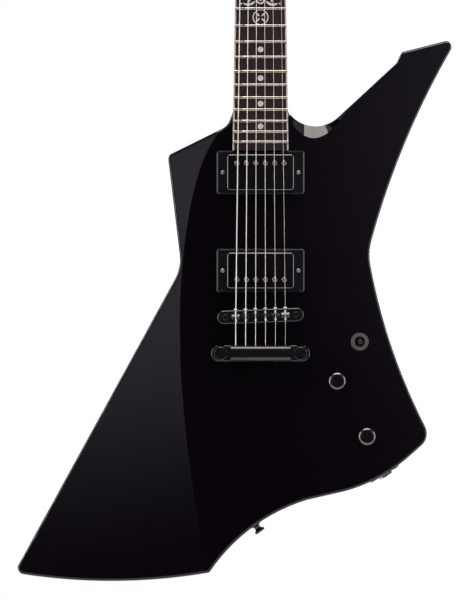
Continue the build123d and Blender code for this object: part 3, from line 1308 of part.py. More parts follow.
def make_tuner_post(x, y):
    """String post with its wheel inside the case and the thumb wheel of its string lock behind."""
    with BuildPart() as post_piece:
        with BuildSketch(head_plane(x, y, TUNER_POST_HEIGHT)):
            Circle(TUNER_POST_DIAMETER / 2)
        extrude(amount=-(TUNER_POST_HEIGHT - CASE_LOW + 1))
        fillet(post_piece.faces().sort_by_distance(HEAD.from_local_coords((x, y, 30)))[0].edges(), 0.8)
        with BuildSketch(head_plane(x, y, GEAR_LEVEL + WHEEL_THICKNESS / 2)):
            Circle(WHEEL_DIAMETER / 2)
        extrude(amount=-WHEEL_THICKNESS)
        with BuildSketch(head_plane(x, y, CASE_LOW - 0.4)):
            Circle(LOCK_WHEEL_DIAMETER / 2)
            with PolarLocations(LOCK_WHEEL_DIAMETER / 2 + 0.2, 20):
                Circle(0.5, mode=Mode.SUBTRACT)
        extrude(amount=-LOCK_WHEEL_THICKNESS)
        hole_start = HEAD.from_local_coords((x, y - TUNER_POST_DIAMETER, STRING_ON_POST))
        with BuildSketch(Plane(origin=hole_start, x_dir=HEAD.x_dir, z_dir=HEAD.y_dir)):
            Circle(0.8)
        extrude(amount=2 * TUNER_POST_DIAMETER, mode=Mode.SUBTRACT)
    return post_piece


def make_tuner_key(x, y):
    """Key with its button, its shaft and the worm inside the case."""
    side = 1 if x > 0 else -1
    worm_y = y - WORM_OFFSET
    edge = head_half_width(worm_y) + KEY_REACH
    with BuildPart() as key:
        with BuildSketch(across_head(x - side * 5.5, worm_y, GEAR_LEVEL, side)):
            Circle(WORM_DIAMETER / 2)
        extrude(amount=11)
        with BuildSketch(across_head(x, worm_y, GEAR_LEVEL, side)):
            Circle(KEY_SHAFT_DIAMETER / 2)
        extrude(amount=edge + 3 - abs(x))
        case_side = side * (abs(x) + TUNER_CASE_WIDTH / 2 + RUNNING)
        with BuildSketch(across_head(case_side, worm_y, GEAR_LEVEL, side)):
            Circle(KEY_SHAFT_DIAMETER / 2 + 1)
        extrude(amount=2.5)
        with BuildPart(mode=Mode.PRIVATE) as key_button:
            button_x = side * (edge + KEY_LENGTH / 2)
            with BuildSketch(head_plane(button_x, worm_y, GEAR_LEVEL + KEY_THICKNESS / 2)):
                RectangleRounded(KEY_LENGTH, KEY_WIDTH, KEY_CORNER)
            extrude(amount=-KEY_THICKNESS)
            broad_faces = key_button.faces().filter_by(Plane(HEAD.origin, z_dir=HEAD.z_dir))
            fillet(broad_faces.edges(), KEY_THICKNESS / 4)
        add(key_button.part)
    return key


STRING_ON_POST = 9.0
STRING_BEND = 1.5
with BuildPart() as tuner_housings:
    for i in STRINGS:
        add(make_tuner_case(*tuner_spot(i)))

with BuildPart() as tuner_bushings:
    for i in STRINGS:
        add(make_tuner_bushing(*tuner_spot(i)))

tuner_posts = [make_tuner_post(*tuner_spot(i)) for i in STRINGS]
tuner_keys = [make_tuner_key(*tuner_spot(i)) for i in STRINGS]

# ================================================================== strings


def string_route(i):
    """Corners of string i: stop bar, its front edge, saddle, both sides of the nut, post."""
    radius = STRING_DIAMETERS[i] / 2
    bar_x, nut_at = bridge_x(i), nut_x(i)
    post_x, post_y = tuner_spot(i)
    beside = post_x - (TUNER_POST_DIAMETER / 2 + radius + 0.1) * (1 if post_x > 0 else -1)
    over_nut = string_underside(nut_at, 0) + radius
    return [
        Vector(bar_x, -TAIL_HOLE_HEIGHT, TAIL_Z - TAIL_WIDTH / 4),
        Vector(bar_x, -TAIL_HOLE_HEIGHT, TAIL_Z + TAIL_WIDTH / 2 + 0.5),
        Vector(bar_x, -string_underside(bar_x, BRIDGE_Z) - radius, screw_plane(i, 0, 0).origin.Z),
        Vector(nut_at, -over_nut, 0),
        Vector(nut_at, -over_nut, NUT_THICKNESS),
        HEAD.from_local_coords(Vector(beside, post_y, STRING_ON_POST)),
    ]


with BuildPart() as strings:
    for i in STRINGS:
        route = string_route(i)
        with BuildPart(mode=Mode.PRIVATE) as string:
            with BuildLine() as string_line:
                FilletPolyline(*route, radius=STRING_BEND)
            with BuildSketch(Plane(origin=route[0], z_dir=route[1] - route[0])):
                Circle(STRING_DIAMETERS[i] / 2)
            sweep(path=string_line.line)
            with Locations(route[0]):
                Sphere(BALL_DIAMETER / 2)
        add(string.part)


# ================================================================== labels and files
PIECES = {
    "body": body,
    "neck": neck,
    "fingerboard": fingerboard,
    "fingerboard_binding": fingerboard_binding,
    "frets": frets,
    "position_inlays": position_inlays,
    "nut": nut,
    "truss_rod": truss_rod,
    "truss_rod_cover": truss_rod_cover,
    "control_cover": control_cover,
    "mounting_screws": mounting_screws,
    "control_pots": control_pots,
    "panel_nuts": panel_nuts,
    "volume_shaft": volume_shaft,
    "volume_knob": volume_knob,
    "tone_shaft": tone_shaft,
    "tone_knob": tone_knob,
    "switch_body": switch_body,
    "switch_lever": switch_lever,
    "switch_tip": switch_tip,
    "jack_plate": jack_plate,
    "jack_socket": jack_socket,
    "strap_buttons": strap_buttons,
    "bridge_body": bridge_body,
    "bridge_posts": bridge_posts,
    "bridge_thumbwheels": bridge_thumbwheels,
    "intonation_screws": intonation_screws,
    "tailpiece": tailpiece,
    "tailpiece_studs": tailpiece_studs,
    "stud_bushings": stud_bushings,
    "pickup_rings": pickup_rings,
    "neck_pickup_cover": neck_pickup_cover,
    "neck_pickup_core": neck_pickup_core,
    "neck_pickup_poles": neck_pickup_poles,
    "bridge_pickup_cover": bridge_pickup_cover,
    "bridge_pickup_core": bridge_pickup_core,
    "bridge_pickup_poles": bridge_pickup_poles,
    "pickup_height_screws": pickup_height_screws,
    "pickup_springs": pickup_springs,
    "strings": strings,
    "tuner_housings": tuner_housings,
    "tuner_bushings": tuner_bushings,
}
for i in STRINGS:
    PIECES[f"saddle_{i + 1}"] = saddles[i]
    PIECES[f"tuner_post_{i + 1}"] = tuner_posts[i]
    PIECES[f"tuner_key_{i + 1}"] = tuner_keys[i]

for name, piece in PIECES.items():
    piece.part.label = name
    export_step(piece.part, f"parts/{name}.step")
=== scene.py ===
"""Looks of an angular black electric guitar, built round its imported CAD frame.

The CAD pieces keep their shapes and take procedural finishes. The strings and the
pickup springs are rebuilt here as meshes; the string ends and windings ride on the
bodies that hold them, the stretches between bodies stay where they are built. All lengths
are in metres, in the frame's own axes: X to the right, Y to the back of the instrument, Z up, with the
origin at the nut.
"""

import json
import logging
import math
from dataclasses import dataclass, field
from enum import Enum
from typing import Sequence, Union

import bmesh
import bpy
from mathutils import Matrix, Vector

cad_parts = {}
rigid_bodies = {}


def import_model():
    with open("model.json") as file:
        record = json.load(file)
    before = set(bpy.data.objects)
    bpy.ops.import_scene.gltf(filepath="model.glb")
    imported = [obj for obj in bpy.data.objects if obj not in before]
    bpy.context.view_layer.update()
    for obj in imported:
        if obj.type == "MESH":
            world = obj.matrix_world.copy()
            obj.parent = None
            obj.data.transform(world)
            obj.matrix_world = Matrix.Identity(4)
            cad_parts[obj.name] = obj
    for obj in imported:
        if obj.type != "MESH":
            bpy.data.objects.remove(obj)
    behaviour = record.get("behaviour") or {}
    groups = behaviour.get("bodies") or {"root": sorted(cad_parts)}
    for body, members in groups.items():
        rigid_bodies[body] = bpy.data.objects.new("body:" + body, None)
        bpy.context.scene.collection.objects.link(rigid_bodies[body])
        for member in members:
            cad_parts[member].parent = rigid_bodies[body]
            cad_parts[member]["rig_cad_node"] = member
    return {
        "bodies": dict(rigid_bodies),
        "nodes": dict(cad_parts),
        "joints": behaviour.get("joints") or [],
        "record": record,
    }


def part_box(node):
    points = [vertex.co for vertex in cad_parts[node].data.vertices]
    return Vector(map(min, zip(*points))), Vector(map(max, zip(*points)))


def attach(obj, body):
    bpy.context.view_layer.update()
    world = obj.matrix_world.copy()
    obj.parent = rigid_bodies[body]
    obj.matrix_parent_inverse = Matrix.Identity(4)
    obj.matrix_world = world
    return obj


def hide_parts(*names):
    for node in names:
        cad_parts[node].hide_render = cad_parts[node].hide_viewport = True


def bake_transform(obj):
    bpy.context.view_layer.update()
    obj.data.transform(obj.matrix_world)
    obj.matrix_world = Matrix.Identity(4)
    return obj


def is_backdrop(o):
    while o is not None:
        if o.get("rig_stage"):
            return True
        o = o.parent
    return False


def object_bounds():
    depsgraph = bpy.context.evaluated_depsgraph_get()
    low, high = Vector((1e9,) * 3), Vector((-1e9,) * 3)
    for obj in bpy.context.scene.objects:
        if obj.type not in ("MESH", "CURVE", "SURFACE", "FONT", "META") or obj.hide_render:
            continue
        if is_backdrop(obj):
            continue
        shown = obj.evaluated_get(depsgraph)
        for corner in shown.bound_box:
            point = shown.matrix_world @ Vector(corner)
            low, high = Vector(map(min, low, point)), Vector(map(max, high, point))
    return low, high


log = logging.getLogger("guitar")

Colour = tuple[float, float, float]
Stretch = tuple[float, float, float]
Span = tuple[float, float]
Value = Union["Wire", float, Sequence[float]]

STRING_COUNT = 6
MM = 0.001


class Slot(Enum):
    """The record's material slots."""

    BODY = "body_lacquer"
    NECK = "neck_lacquer"
    ROSEWOOD = "dark_rosewood"
    BINDING = "ivory_binding"
    FRET = "fret_wire"
    PEARL = "pearl"
    BONE = "bone"
    STEEL = "bright_steel"
    PLASTIC = "black_plastic"
    BLACK_METAL = "black_metal"
    BLACK_NICKEL = "black_nickel"
    NICKEL = "warm_nickel"
    STRING = "string_steel"


# ------------------------------------------------------------------ shader arithmetic
@dataclass(frozen=True)
class Wire:
    """An output socket that takes part in arithmetic, each step adding a Math node."""

    graph: "Graph"
    socket: bpy.types.NodeSocket

    def __add__(self, other: Value) -> "Wire":
        """Sum."""
        return self.graph.maths("ADD", self, other)

    def __sub__(self, other: Value) -> "Wire":
        """Difference."""
        return self.graph.maths("SUBTRACT", self, other)

    def __rsub__(self, other: Value) -> "Wire":
        """Difference, from a number on the left."""
        return self.graph.maths("SUBTRACT", other, self)

    def __mul__(self, other: Value) -> "Wire":
        """Product."""
        return self.graph.maths("MULTIPLY", self, other)

    __radd__ = __add__
    __rmul__ = __mul__


class Graph:
    """A node tree that is filled from values, wires and settings."""

    def __init__(self, tree: bpy.types.NodeTree) -> None:
        """Empties the tree.

        Args:
            tree: The tree of a material or a world.
        """
        self.tree = tree
        self.tree.nodes.clear()

    def node(
        self,
        kind: str,
        settings: dict | None = None,
        values: dict | None = None,
        output: int = 0,
    ) -> Wire:
        """Adds one node.

        Args:
            kind: The node's type name.
            settings: The node's own properties, set before its sockets.
            values: A number, vector or wire for each input, by the input's name or place.
            output: The place of the output that is returned.

        Returns:
            The chosen output.
        """
        made = self.tree.nodes.new(kind)
        for name, setting in (settings or {}).items():
            setattr(made, name, setting)
        for name, value in (values or {}).items():
            socket = made.inputs[name]
            if isinstance(value, Wire):
                self.tree.links.new(value.socket, socket)
            else:
                socket.default_value = value
        return Wire(self, made.outputs[output]) if len(made.outputs) else Wire(self, None)

    def maths(self, operation: str, *values: Value) -> Wire:
        """A Math node on one to three values."""
        return self.node("ShaderNodeMath", {"operation": operation}, dict(enumerate(values)))

    def vector(self, operation: str, *values: Value, output: int = 0) -> Wire:
        """A Vector Math node on its values."""
        return self.node("ShaderNodeVectorMath", {"operation": operation}, dict(enumerate(values)), output)

    def mix(self, share: Value, first: Value, second: Value) -> Wire:
        """A colour between two, first at share 0 and second at share 1."""
        first, second = (c if isinstance(c, Wire) else (*c, 1.0) for c in (first, second))
        return self.node("ShaderNodeMix", {"data_type": "RGBA"}, {0: share, 6: first, 7: second}, 2)

    def place(self, stretch: Stretch = (1.0, 1.0, 1.0)) -> Wire:
        """The point on the piece in the frame's metres, stretched along each axis."""
        where = self.node("ShaderNodeTexCoord", output=3)
        return self.vector("MULTIPLY", where, stretch)

    def noise(self, where: Wire, scale: float, detail: float = 2.0, roughness: float = 0.5) -> Wire:
        """Smooth noise from 0 to 1, with `scale` features a metre."""
        values = {"Vector": where, "Scale": scale, "Detail": detail, "Roughness": roughness}
        return self.node("ShaderNodeTexNoise", None, values)

    def step(self, value: Wire, low: float, high: float) -> Wire:
        """A smooth step from 0 at low to 1 at high."""
        values = {"Value": value, "From Min": low, "From Max": high}
        return self.node("ShaderNodeMapRange", {"interpolation_type": "SMOOTHSTEP"}, values)

    def bump(self, height: Wire, depth: float) -> Wire:
        """A normal raised by height, whose full range is `depth` metres."""
        values = {"Height": height, "Distance": depth, "Strength": 1.0}
        return self.node("ShaderNodeBump", None, values)


# ------------------------------------------------------------------ finishes
def tint(colour: Colour, share: float) -> Colour:
    """A colour made darker or lighter."""
    return tuple(share * part for part in colour)


@dataclass(frozen=True)
class Finish:
    """A surface finish, painted as one material.

    Attributes:
        slot: The record's slot that the finish fills.
        colour: The main colour.
        second: The colour it drifts to.
        rough: The roughness where the surface is cleanest.
        rough_spread: How much rougher its dullest patches are.
        metal: 1 for bare or plated metal.
        grain: Features a metre in the colour drift.
    """

    slot: Slot
    colour: Colour
    second: Colour
    rough: float
    rough_spread: float = 0.05
    metal: float = 0.0
    grain: float = 40.0

    def material(self) -> bpy.types.Material:
        """Makes the material.

        Returns:
            A material with this finish's name.
        """
        made = bpy.data.materials.new(self.slot.value)
        made.use_nodes = True
        graph = Graph(made.node_tree)
        sockets = {"Metallic": self.metal, **self.surface(graph)}
        shader = graph.node("ShaderNodeBsdfPrincipled", None, sockets)
        graph.node("ShaderNodeOutputMaterial", None, {"Surface": shader})
        return made

    def surface(self, graph: Graph) -> dict[str, Value]:
        """The sockets of the surface shader; each kind of finish adds its own detail.

        Args:
            graph: The material's tree.

        Returns:
            Values and wires for the shader's inputs.
        """
        drift = graph.noise(graph.place(), self.grain, 4.0)
        return {
            "Base Color": graph.mix(graph.step(drift, 0.3, 0.7), self.colour, self.second),
            "Roughness": self.rough + self.rough_spread * graph.step(drift, 0.35, 0.75),
        }


@dataclass(frozen=True)
class Lacquer(Finish):
    """Polished coloured lacquer: faint orange peel, polishing haze and a few dust nibs.

    Attributes:
        peel: Height of the orange peel.
        peel_grain: Features a metre in the orange peel.
        haze_grain: Features a metre in the haze.
        haze_span: Where the haze starts and where it is full.
        swirls: The hairline swirls, by how finely they run along each axis.
        swirl_span: Where a swirl starts and where it is full.
        swirl_rough: How much a swirl dulls the gloss.
        nib_grain: Features a metre in the field whose peaks are nibs.
        nib_span: Where a nib starts and where it is full.
        nib_height: A nib's height, in heights of the peel.
        ior: How strongly the lacquer bends light.
    """

    peel: float = 2.0e-6
    peel_grain: float = 340.0
    haze_grain: float = 9.0
    haze_span: Span = (0.45, 0.8)
    swirls: Stretch = (900.0, 900.0, 60.0)
    swirl_span: Span = (0.6, 0.8)
    swirl_rough: float = 0.02
    nib_grain: float = 1400.0
    nib_span: Span = (0.8, 0.86)
    nib_height: float = 0.35
    ior: float = 1.5

    def surface(self, graph: Graph) -> dict[str, Value]:
        """Adds orange peel, soft haze and hairline swirls to the drifting colour."""
        where = graph.place()
        drift = graph.noise(where, self.grain, 3.0)
        haze = graph.step(graph.noise(where, self.haze_grain, 5.0, 0.6), *self.haze_span)
        swirls = graph.step(graph.noise(graph.place(self.swirls), 1.0, 2.0), *self.swirl_span)
        nibs = graph.step(graph.noise(where, self.nib_grain, 0.0), *self.nib_span)
        peel = graph.noise(where, self.peel_grain, 1.0) + self.nib_height * nibs
        return {
            "Base Color": graph.mix(drift, self.colour, self.second),
            "Roughness": self.rough + self.rough_spread * haze + self.swirl_rough * swirls,
            "IOR": self.ior,
            "Normal": graph.bump(peel, self.peel),
        }


@dataclass(frozen=True)
class Rosewood(Finish):
    """Dark open-pored wood, its grain and pores running along the neck.

    Attributes:
        streaks: The broad streaks, by how finely they run along each axis.
        streak_span: Where a streak starts and where it is full.
        fibres: The fine fibres, by how finely they run along each axis.
        fibre_share: How far a fibre takes the colour to its lighter tint.
        fibre_lift: That tint, in the second colour's brightness.
        pores: The short pores, by how finely they run along each axis.
        pore_span: Where a pore starts and where it is full.
        pore_share: How far a pore takes the colour to its darker tint.
        pore_dark: That tint, in the main colour's brightness.
        pore_rough: How much a pore dulls the surface.
        pore_depth: Depth of a pore.
        fibre_height: A fibre's height, in depths of a pore.
        shine: How strongly the oiled surface mirrors.
    """

    streaks: Stretch = (70.0, 70.0, 3.0)
    streak_span: Span = (0.3, 0.72)
    fibres: Stretch = (1500.0, 1500.0, 26.0)
    fibre_share: float = 0.35
    fibre_lift: float = 1.9
    pores: Stretch = (2300.0, 2300.0, 130.0)
    pore_span: Span = (0.6, 0.68)
    pore_share: float = 0.8
    pore_dark: float = 0.3
    pore_rough: float = 0.2
    pore_depth: float = 6.0e-5
    fibre_height: float = 0.25
    shine: float = 0.22

    def surface(self, graph: Graph) -> dict[str, Value]:
        """Adds streaks, fine fibres and short dark pores."""
        streaks = graph.step(graph.noise(graph.place(self.streaks), 1.0, 5.0, 0.62), *self.streak_span)
        fibres = graph.noise(graph.place(self.fibres), 1.0, 3.0)
        pores = graph.step(graph.noise(graph.place(self.pores), 1.0, 1.0), *self.pore_span)
        wood = graph.mix(streaks, self.colour, self.second)
        wood = graph.mix(self.fibre_share * fibres, wood, tint(self.second, self.fibre_lift))
        wood = graph.mix(self.pore_share * pores, wood, tint(self.colour, self.pore_dark))
        return {
            "Base Color": wood,
            "Roughness": self.rough + self.rough_spread * fibres + self.pore_rough * pores,
            "Specular IOR Level": self.shine,
            "Normal": graph.bump(self.fibre_height * fibres - pores, self.pore_depth),
        }


@dataclass(frozen=True)
class Pearl(Finish):
    """Mother of pearl: bands of pale grey, green and rose under polish.

    Attributes:
        rose: The rose patches' colour.
        rose_grain: Features a metre in the rose patches.
        rose_span: Where a patch starts and where it is full.
        rose_share: How far a patch takes the colour to rose.
        warp_grain: Features a metre in the slow waves of the bands.
        warp_bands: How many radians of banding one wave spans.
        ripple_grain: Features a metre in the bands' ripples.
        ripple_bands: How many radians of banding one ripple spans.
        band_height: Height of a band.
        polish: Weight of the clear polish.
        polish_rough: Roughness of the clear polish.
    """

    rose: Colour = (0.7, 0.56, 0.56)
    rose_grain: float = 90.0
    rose_span: Span = (0.5, 0.62)
    rose_share: float = 0.5
    warp_grain: float = 150.0
    warp_bands: float = 60.0
    ripple_grain: float = 420.0
    ripple_bands: float = 9.0
    band_height: float = 4.0e-6
    polish: float = 0.6
    polish_rough: float = 0.04

    def surface(self, graph: Graph) -> dict[str, Value]:
        """Adds warped bands that change their tint across the shell."""
        where = graph.place()
        warp = graph.noise(where, self.warp_grain, 3.0)
        ripple = graph.noise(where, self.ripple_grain, 2.0)
        bands = graph.maths("SINE", self.warp_bands * warp + self.ripple_bands * ripple)
        shell = graph.mix(graph.step(bands, -0.9, 0.9), self.colour, self.second)
        patches = graph.step(graph.noise(where, self.rose_grain, 1.0), *self.rose_span)
        return {
            "Base Color": graph.mix(patches * self.rose_share, shell, self.rose),
            "Roughness": self.rough + self.rough_spread * warp,
            "Coat Weight": self.polish,
            "Coat Roughness": self.polish_rough,
            "Normal": graph.bump(bands, self.band_height),
        }


class Lay(Enum):
    """The way a metal's fine polishing marks run, as a stretch of the frame's axes."""

    ALONG_X = (40.0, 2600.0, 2600.0)
    ALONG_Z = (2600.0, 2600.0, 40.0)
    NONE = (1500.0, 1500.0, 1500.0)


@dataclass(frozen=True)
class Metal(Finish):
    """Polished, plated or turned metal with fine marks and faint handling haze.

    Attributes:
        lay: The way the polishing marks run.
        mark_depth: Depth of the marks.
        haze_span: Where the haze starts and where it is full.
        haze_share: The haze's share in the spread of roughness.
        mark_share: The marks' share in it.
        speck_grain: Features a metre in the field whose peaks are specks.
        speck_span: Where a speck starts and where it is full.
        speck_share: How far a speck takes the colour to its darker tint.
        speck_dark: That tint, in the main colour's brightness.
        speck_rough: How much a speck dulls the surface.
    """

    metal: float = 1.0
    lay: Lay = Lay.NONE
    mark_depth: float = 2.5e-6
    haze_span: Span = (0.35, 0.75)
    haze_share: float = 0.6
    mark_share: float = 0.4
    speck_grain: float = 2600.0
    speck_span: Span = (0.76, 0.82)
    speck_share: float = 0.5
    speck_dark: float = 0.45
    speck_rough: float = 0.1

    def surface(self, graph: Graph) -> dict[str, Value]:
        """Adds polishing marks, haze and small bright or dull specks."""
        where = graph.place()
        marks = graph.noise(graph.place(self.lay.value), 1.0, 2.0, 0.6)
        haze = graph.step(graph.noise(where, self.grain, 4.0, 0.6), *self.haze_span)
        specks = graph.step(graph.noise(where, self.speck_grain, 0.0), *self.speck_span)
        plate = graph.mix(haze, self.colour, self.second)
        dulled = self.rough_spread * (self.haze_share * haze + self.mark_share * marks)
        return {
            "Base Color": graph.mix(self.speck_share * specks, plate, tint(self.colour, self.speck_dark)),
            "Roughness": self.rough + dulled + self.speck_rough * specks,
            "Normal": graph.bump(marks, self.mark_depth),
        }


@dataclass(frozen=True)
class Moulded(Finish):
    """Moulded plastic: fine sparkle grain and light scuffs.

    Attributes:
        texture: Height of the mould grain.
        mould_grain: Features a metre in it.
        scuffs: The scuffs, by how finely they run along each axis.
        scuff_span: Where a scuff starts and where it is full.
        scuff_rough: How much a scuff dulls the surface.
        scuff_depth: A scuff's depth, in heights of the mould grain.
    """

    texture: float = 5.0e-6
    mould_grain: float = 2200.0
    scuffs: Stretch = (120.0, 1600.0, 900.0)
    scuff_span: Span = (0.6, 0.72)
    scuff_rough: float = 0.12
    scuff_depth: float = 0.3

    def surface(self, graph: Graph) -> dict[str, Value]:
        """Adds mould grain and thin scuffs that are rougher than the rest."""
        where = graph.place()
        mould = graph.noise(where, self.mould_grain, 2.0)
        scuffs = graph.step(graph.noise(graph.place(self.scuffs), 1.0, 3.0), *self.scuff_span)
        drift = graph.noise(where, self.grain, 3.0)
        return {
            "Base Color": graph.mix(drift, self.colour, self.second),
            "Roughness": self.rough + self.rough_spread * drift + self.scuff_rough * scuffs,
            "Normal": graph.bump(mould - self.scuff_depth * scuffs, self.texture),
        }


@dataclass(frozen=True)
class Bone(Finish):
    """Polished bone: cloudy cream with fine fibres and pores.

    Attributes:
        fibres: The fibres, by how finely they run along each axis.
        fibre_height: Height of a fibre.
        fleck_span: Where a fibre turns into a fleck and where the fleck is full.
        fleck_share: How far a fleck takes the colour to its darker tint.
        fleck_dark: That tint, in the second colour's brightness.
    """

    fibres: Stretch = (160.0, 1800.0, 1800.0)
    fibre_height: float = 8.0e-6
    fleck_span: Span = (0.7, 0.8)
    fleck_share: float = 0.5
    fleck_dark: float = 0.55

    def surface(self, graph: Graph) -> dict[str, Value]:
        """Adds fibres along the slab and a few dark flecks."""
        clouds = graph.noise(graph.place(), self.grain, 4.0)
        fibres = graph.noise(graph.place(self.fibres), 1.0, 2.0)
        flecks = graph.step(fibres, *self.fleck_span)
        slab = graph.mix(clouds, self.colour, self.second)
        return {
            "Base Color": graph.mix(self.fleck_share * flecks, slab, tint(self.second, self.fleck_dark)),
            "Roughness": self.rough + self.rough_spread * clouds,
            "Normal": graph.bump(fibres, self.fibre_height),
        }


FINISHES: tuple[Finish, ...] = (
    Lacquer(Slot.BODY, (0.0022, 0.0012, 0.0024), (0.0030, 0.0018, 0.0036), 0.03, 0.05, grain=6.0),
    Lacquer(Slot.NECK, (0.0026, 0.0017, 0.0028), (0.0034, 0.0024, 0.0038), 0.06, 0.07, grain=9.0),
    Rosewood(Slot.ROSEWOOD, (0.0095, 0.0036, 0.0042), (0.0220, 0.0085, 0.0092), 0.46, 0.2),
    Finish(Slot.BINDING, (0.50, 0.47, 0.42), (0.40, 0.365, 0.31), 0.22, 0.12, grain=120.0),
    Metal(Slot.FRET, (0.50, 0.47, 0.42), (0.50, 0.46, 0.41), 0.2, 0.1, mark_depth=1.0e-6),
    Pearl(Slot.PEARL, (0.66, 0.67, 0.66), (0.42, 0.47, 0.48), 0.16, 0.1),
    Bone(Slot.BONE, (0.70, 0.66, 0.56), (0.60, 0.54, 0.42), 0.28, 0.1, grain=260.0),
    Metal(Slot.STEEL, (0.66, 0.65, 0.63), (0.52, 0.51, 0.50), 0.2, 0.15),
    Moulded(Slot.PLASTIC, (0.0022, 0.0024, 0.0036), (0.0034, 0.0036, 0.0052), 0.14, 0.08, texture=1.5e-6),
    Metal(Slot.BLACK_METAL, (0.075, 0.073, 0.075), (0.052, 0.051, 0.052), 0.15, 0.1, mark_depth=1.2e-6),
    Metal(Slot.BLACK_NICKEL, (0.16, 0.148, 0.138), (0.12, 0.112, 0.107), 0.06, 0.05, mark_depth=4.0e-7),
    Metal(Slot.NICKEL, (0.68, 0.62, 0.54), (0.56, 0.5, 0.43), 0.16, 0.12),
    Metal(
        Slot.STRING,
        (0.96, 0.90, 0.82),
        (0.88, 0.82, 0.74),
        0.3,
        0.1,
        lay=Lay.ALONG_Z,
        mark_depth=1.0e-6,
    ),
)


class Wardrobe:
    """Every finish as a material, by slot."""

    def __init__(self, finishes: Sequence[Finish]) -> None:
        """Makes the materials.

        Args:
            finishes: One finish for each slot.
        """
        self.materials = {finish.slot: finish.material() for finish in finishes}

    def dress(self, piece: bpy.types.Object, slot: Slot) -> None:
        """Gives a piece one finish.

        Args:
            piece: A mesh object.
            slot: The finish to wear.
        """
        piece.data.materials.clear()
        piece.data.materials.append(self.materials[slot])
        "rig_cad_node" not in piece


# ------------------------------------------------------------------ mesh building
Ring = tuple[Vector, Vector, Vector, float]


def centre(node: str) -> Vector:
    """The middle of a CAD node's box."""
    low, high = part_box(node)
    return (low + high) / 2


def tube(name: str, rings: Sequence[Ring], sides: int) -> bpy.types.Object:
    """Builds a closed tube through a row of rings.

    Args:
        name: The piece's name.
        rings: For each ring its centre, two crosswise unit vectors and its radius.
        sides: The number of points round it.

    Returns:
        The new mesh object, smooth shaded.
    """
    mesh = bmesh.new()
    loops = []
    for middle, across, up, radius in rings:
        turn = (2 * math.pi * k / sides for k in range(sides))
        spokes = (math.cos(a) * across + math.sin(a) * up for a in turn)
        loops.append([mesh.verts.new(middle + radius * spoke) for spoke in spokes])
    for before, after in zip(loops, loops[1:]):
        for k in range(sides):
            following = (k + 1) % sides
            mesh.faces.new((before[k], before[following], after[following], after[k]))
    mesh.faces.new(loops[0][::-1])
    mesh.faces.new(loops[-1])
    bmesh.ops.recalc_face_normals(mesh, faces=mesh.faces)
    for face in mesh.faces:
        face.smooth = len(face.verts) == 4
    data = bpy.data.meshes.new(name)
    mesh.to_mesh(data)
    mesh.free()
    made = bpy.data.objects.new(name, data)
    bpy.context.scene.collection.objects.link(made)
    return made


def frames_along(points: Sequence[Vector]) -> list[tuple[Vector, Vector, Vector]]:
    """Carries a crosswise frame along a row of points without twisting it.

    Args:
        points: The centre line.

    Returns:
        Each point with two unit vectors across the line.
    """
    found = []
    across = Vector((1.0, 0.0, 0.0))
    for k, point in enumerate(points):
        ahead = points[min(k + 1, len(points) - 1)] - points[max(k - 1, 0)]
        ahead.normalize()
        across = (across - across.dot(ahead) * ahead).normalized()
        found.append((point, across, ahead.cross(across)))
    return found


def wire_along(name: str, points: Sequence[Vector], radius: float, sides: int = 8) -> bpy.types.Object:
    """A plain round wire along a row of points.

    Args:
        name: The piece's name.
        points: The centre line.
        radius: The wire's radius.
        sides: The number of points round it.

    Returns:
        The new mesh object.
    """
    return tube(name, [(*frame, radius) for frame in frames_along(points)], sides)


def wound_along(name: str, start: Vector, end: Vector, radius: float, pitch: float) -> bpy.types.Object:
    """A wound string between two points: each turn of the wrap is a rounded ridge.

    Args:
        name: The piece's name.
        start: One end.
        end: The other end.
        radius: Half the string's outside diameter.
        pitch: The distance between ridges.

    Returns:
        The new mesh object.
    """
    turns = max(2, round((end - start).length / pitch))
    points = [start.lerp(end, k / (2 * turns)) for k in range(2 * turns + 1)]
    groove = radius - 0.22 * pitch
    rings = [(*frame, radius if k % 2 else groove) for k, frame in enumerate(frames_along(points))]
    return tube(name, rings, 7)


def arc_points(corner: Vector, before: Vector, after: Vector, reach: float, count: int = 6) -> list[Vector]:
    """Points of a soft bend that rounds the corner between two neighbours.

    Args:
        corner: The corner itself.
        before: The point ahead of it on the line.
        after: The point behind it.
        reach: How far from the corner the bend starts.
        count: The number of steps.

    Returns:
        The points of the bend.
    """
    first = corner + (before - corner).normalized() * reach
    last = corner + (after - corner).normalized() * reach
    found = []
    for k in range(count + 1):
        t = k / count
        found.append((1 - t) ** 2 * first + 2 * t * (1 - t) * corner + t * t * last)
    return found


# ------------------------------------------------------------------ strings
# the grooved ball at a string's end: place along it and radius, in shares of the ball's radius
BALL_PROFILE = (
    (-0.9, 0.3),
    (-0.85, 0.85),
    (-0.55, 1.0),
    (-0.3, 0.78),
    (0.3, 0.78),
    (0.55, 1.0),
    (0.85, 0.85),
    (0.9, 0.3),
)


@dataclass(frozen=True)
class StringGauge:
    """One string: its diameter and whether it is wound."""

    diameter: float
    wound: bool


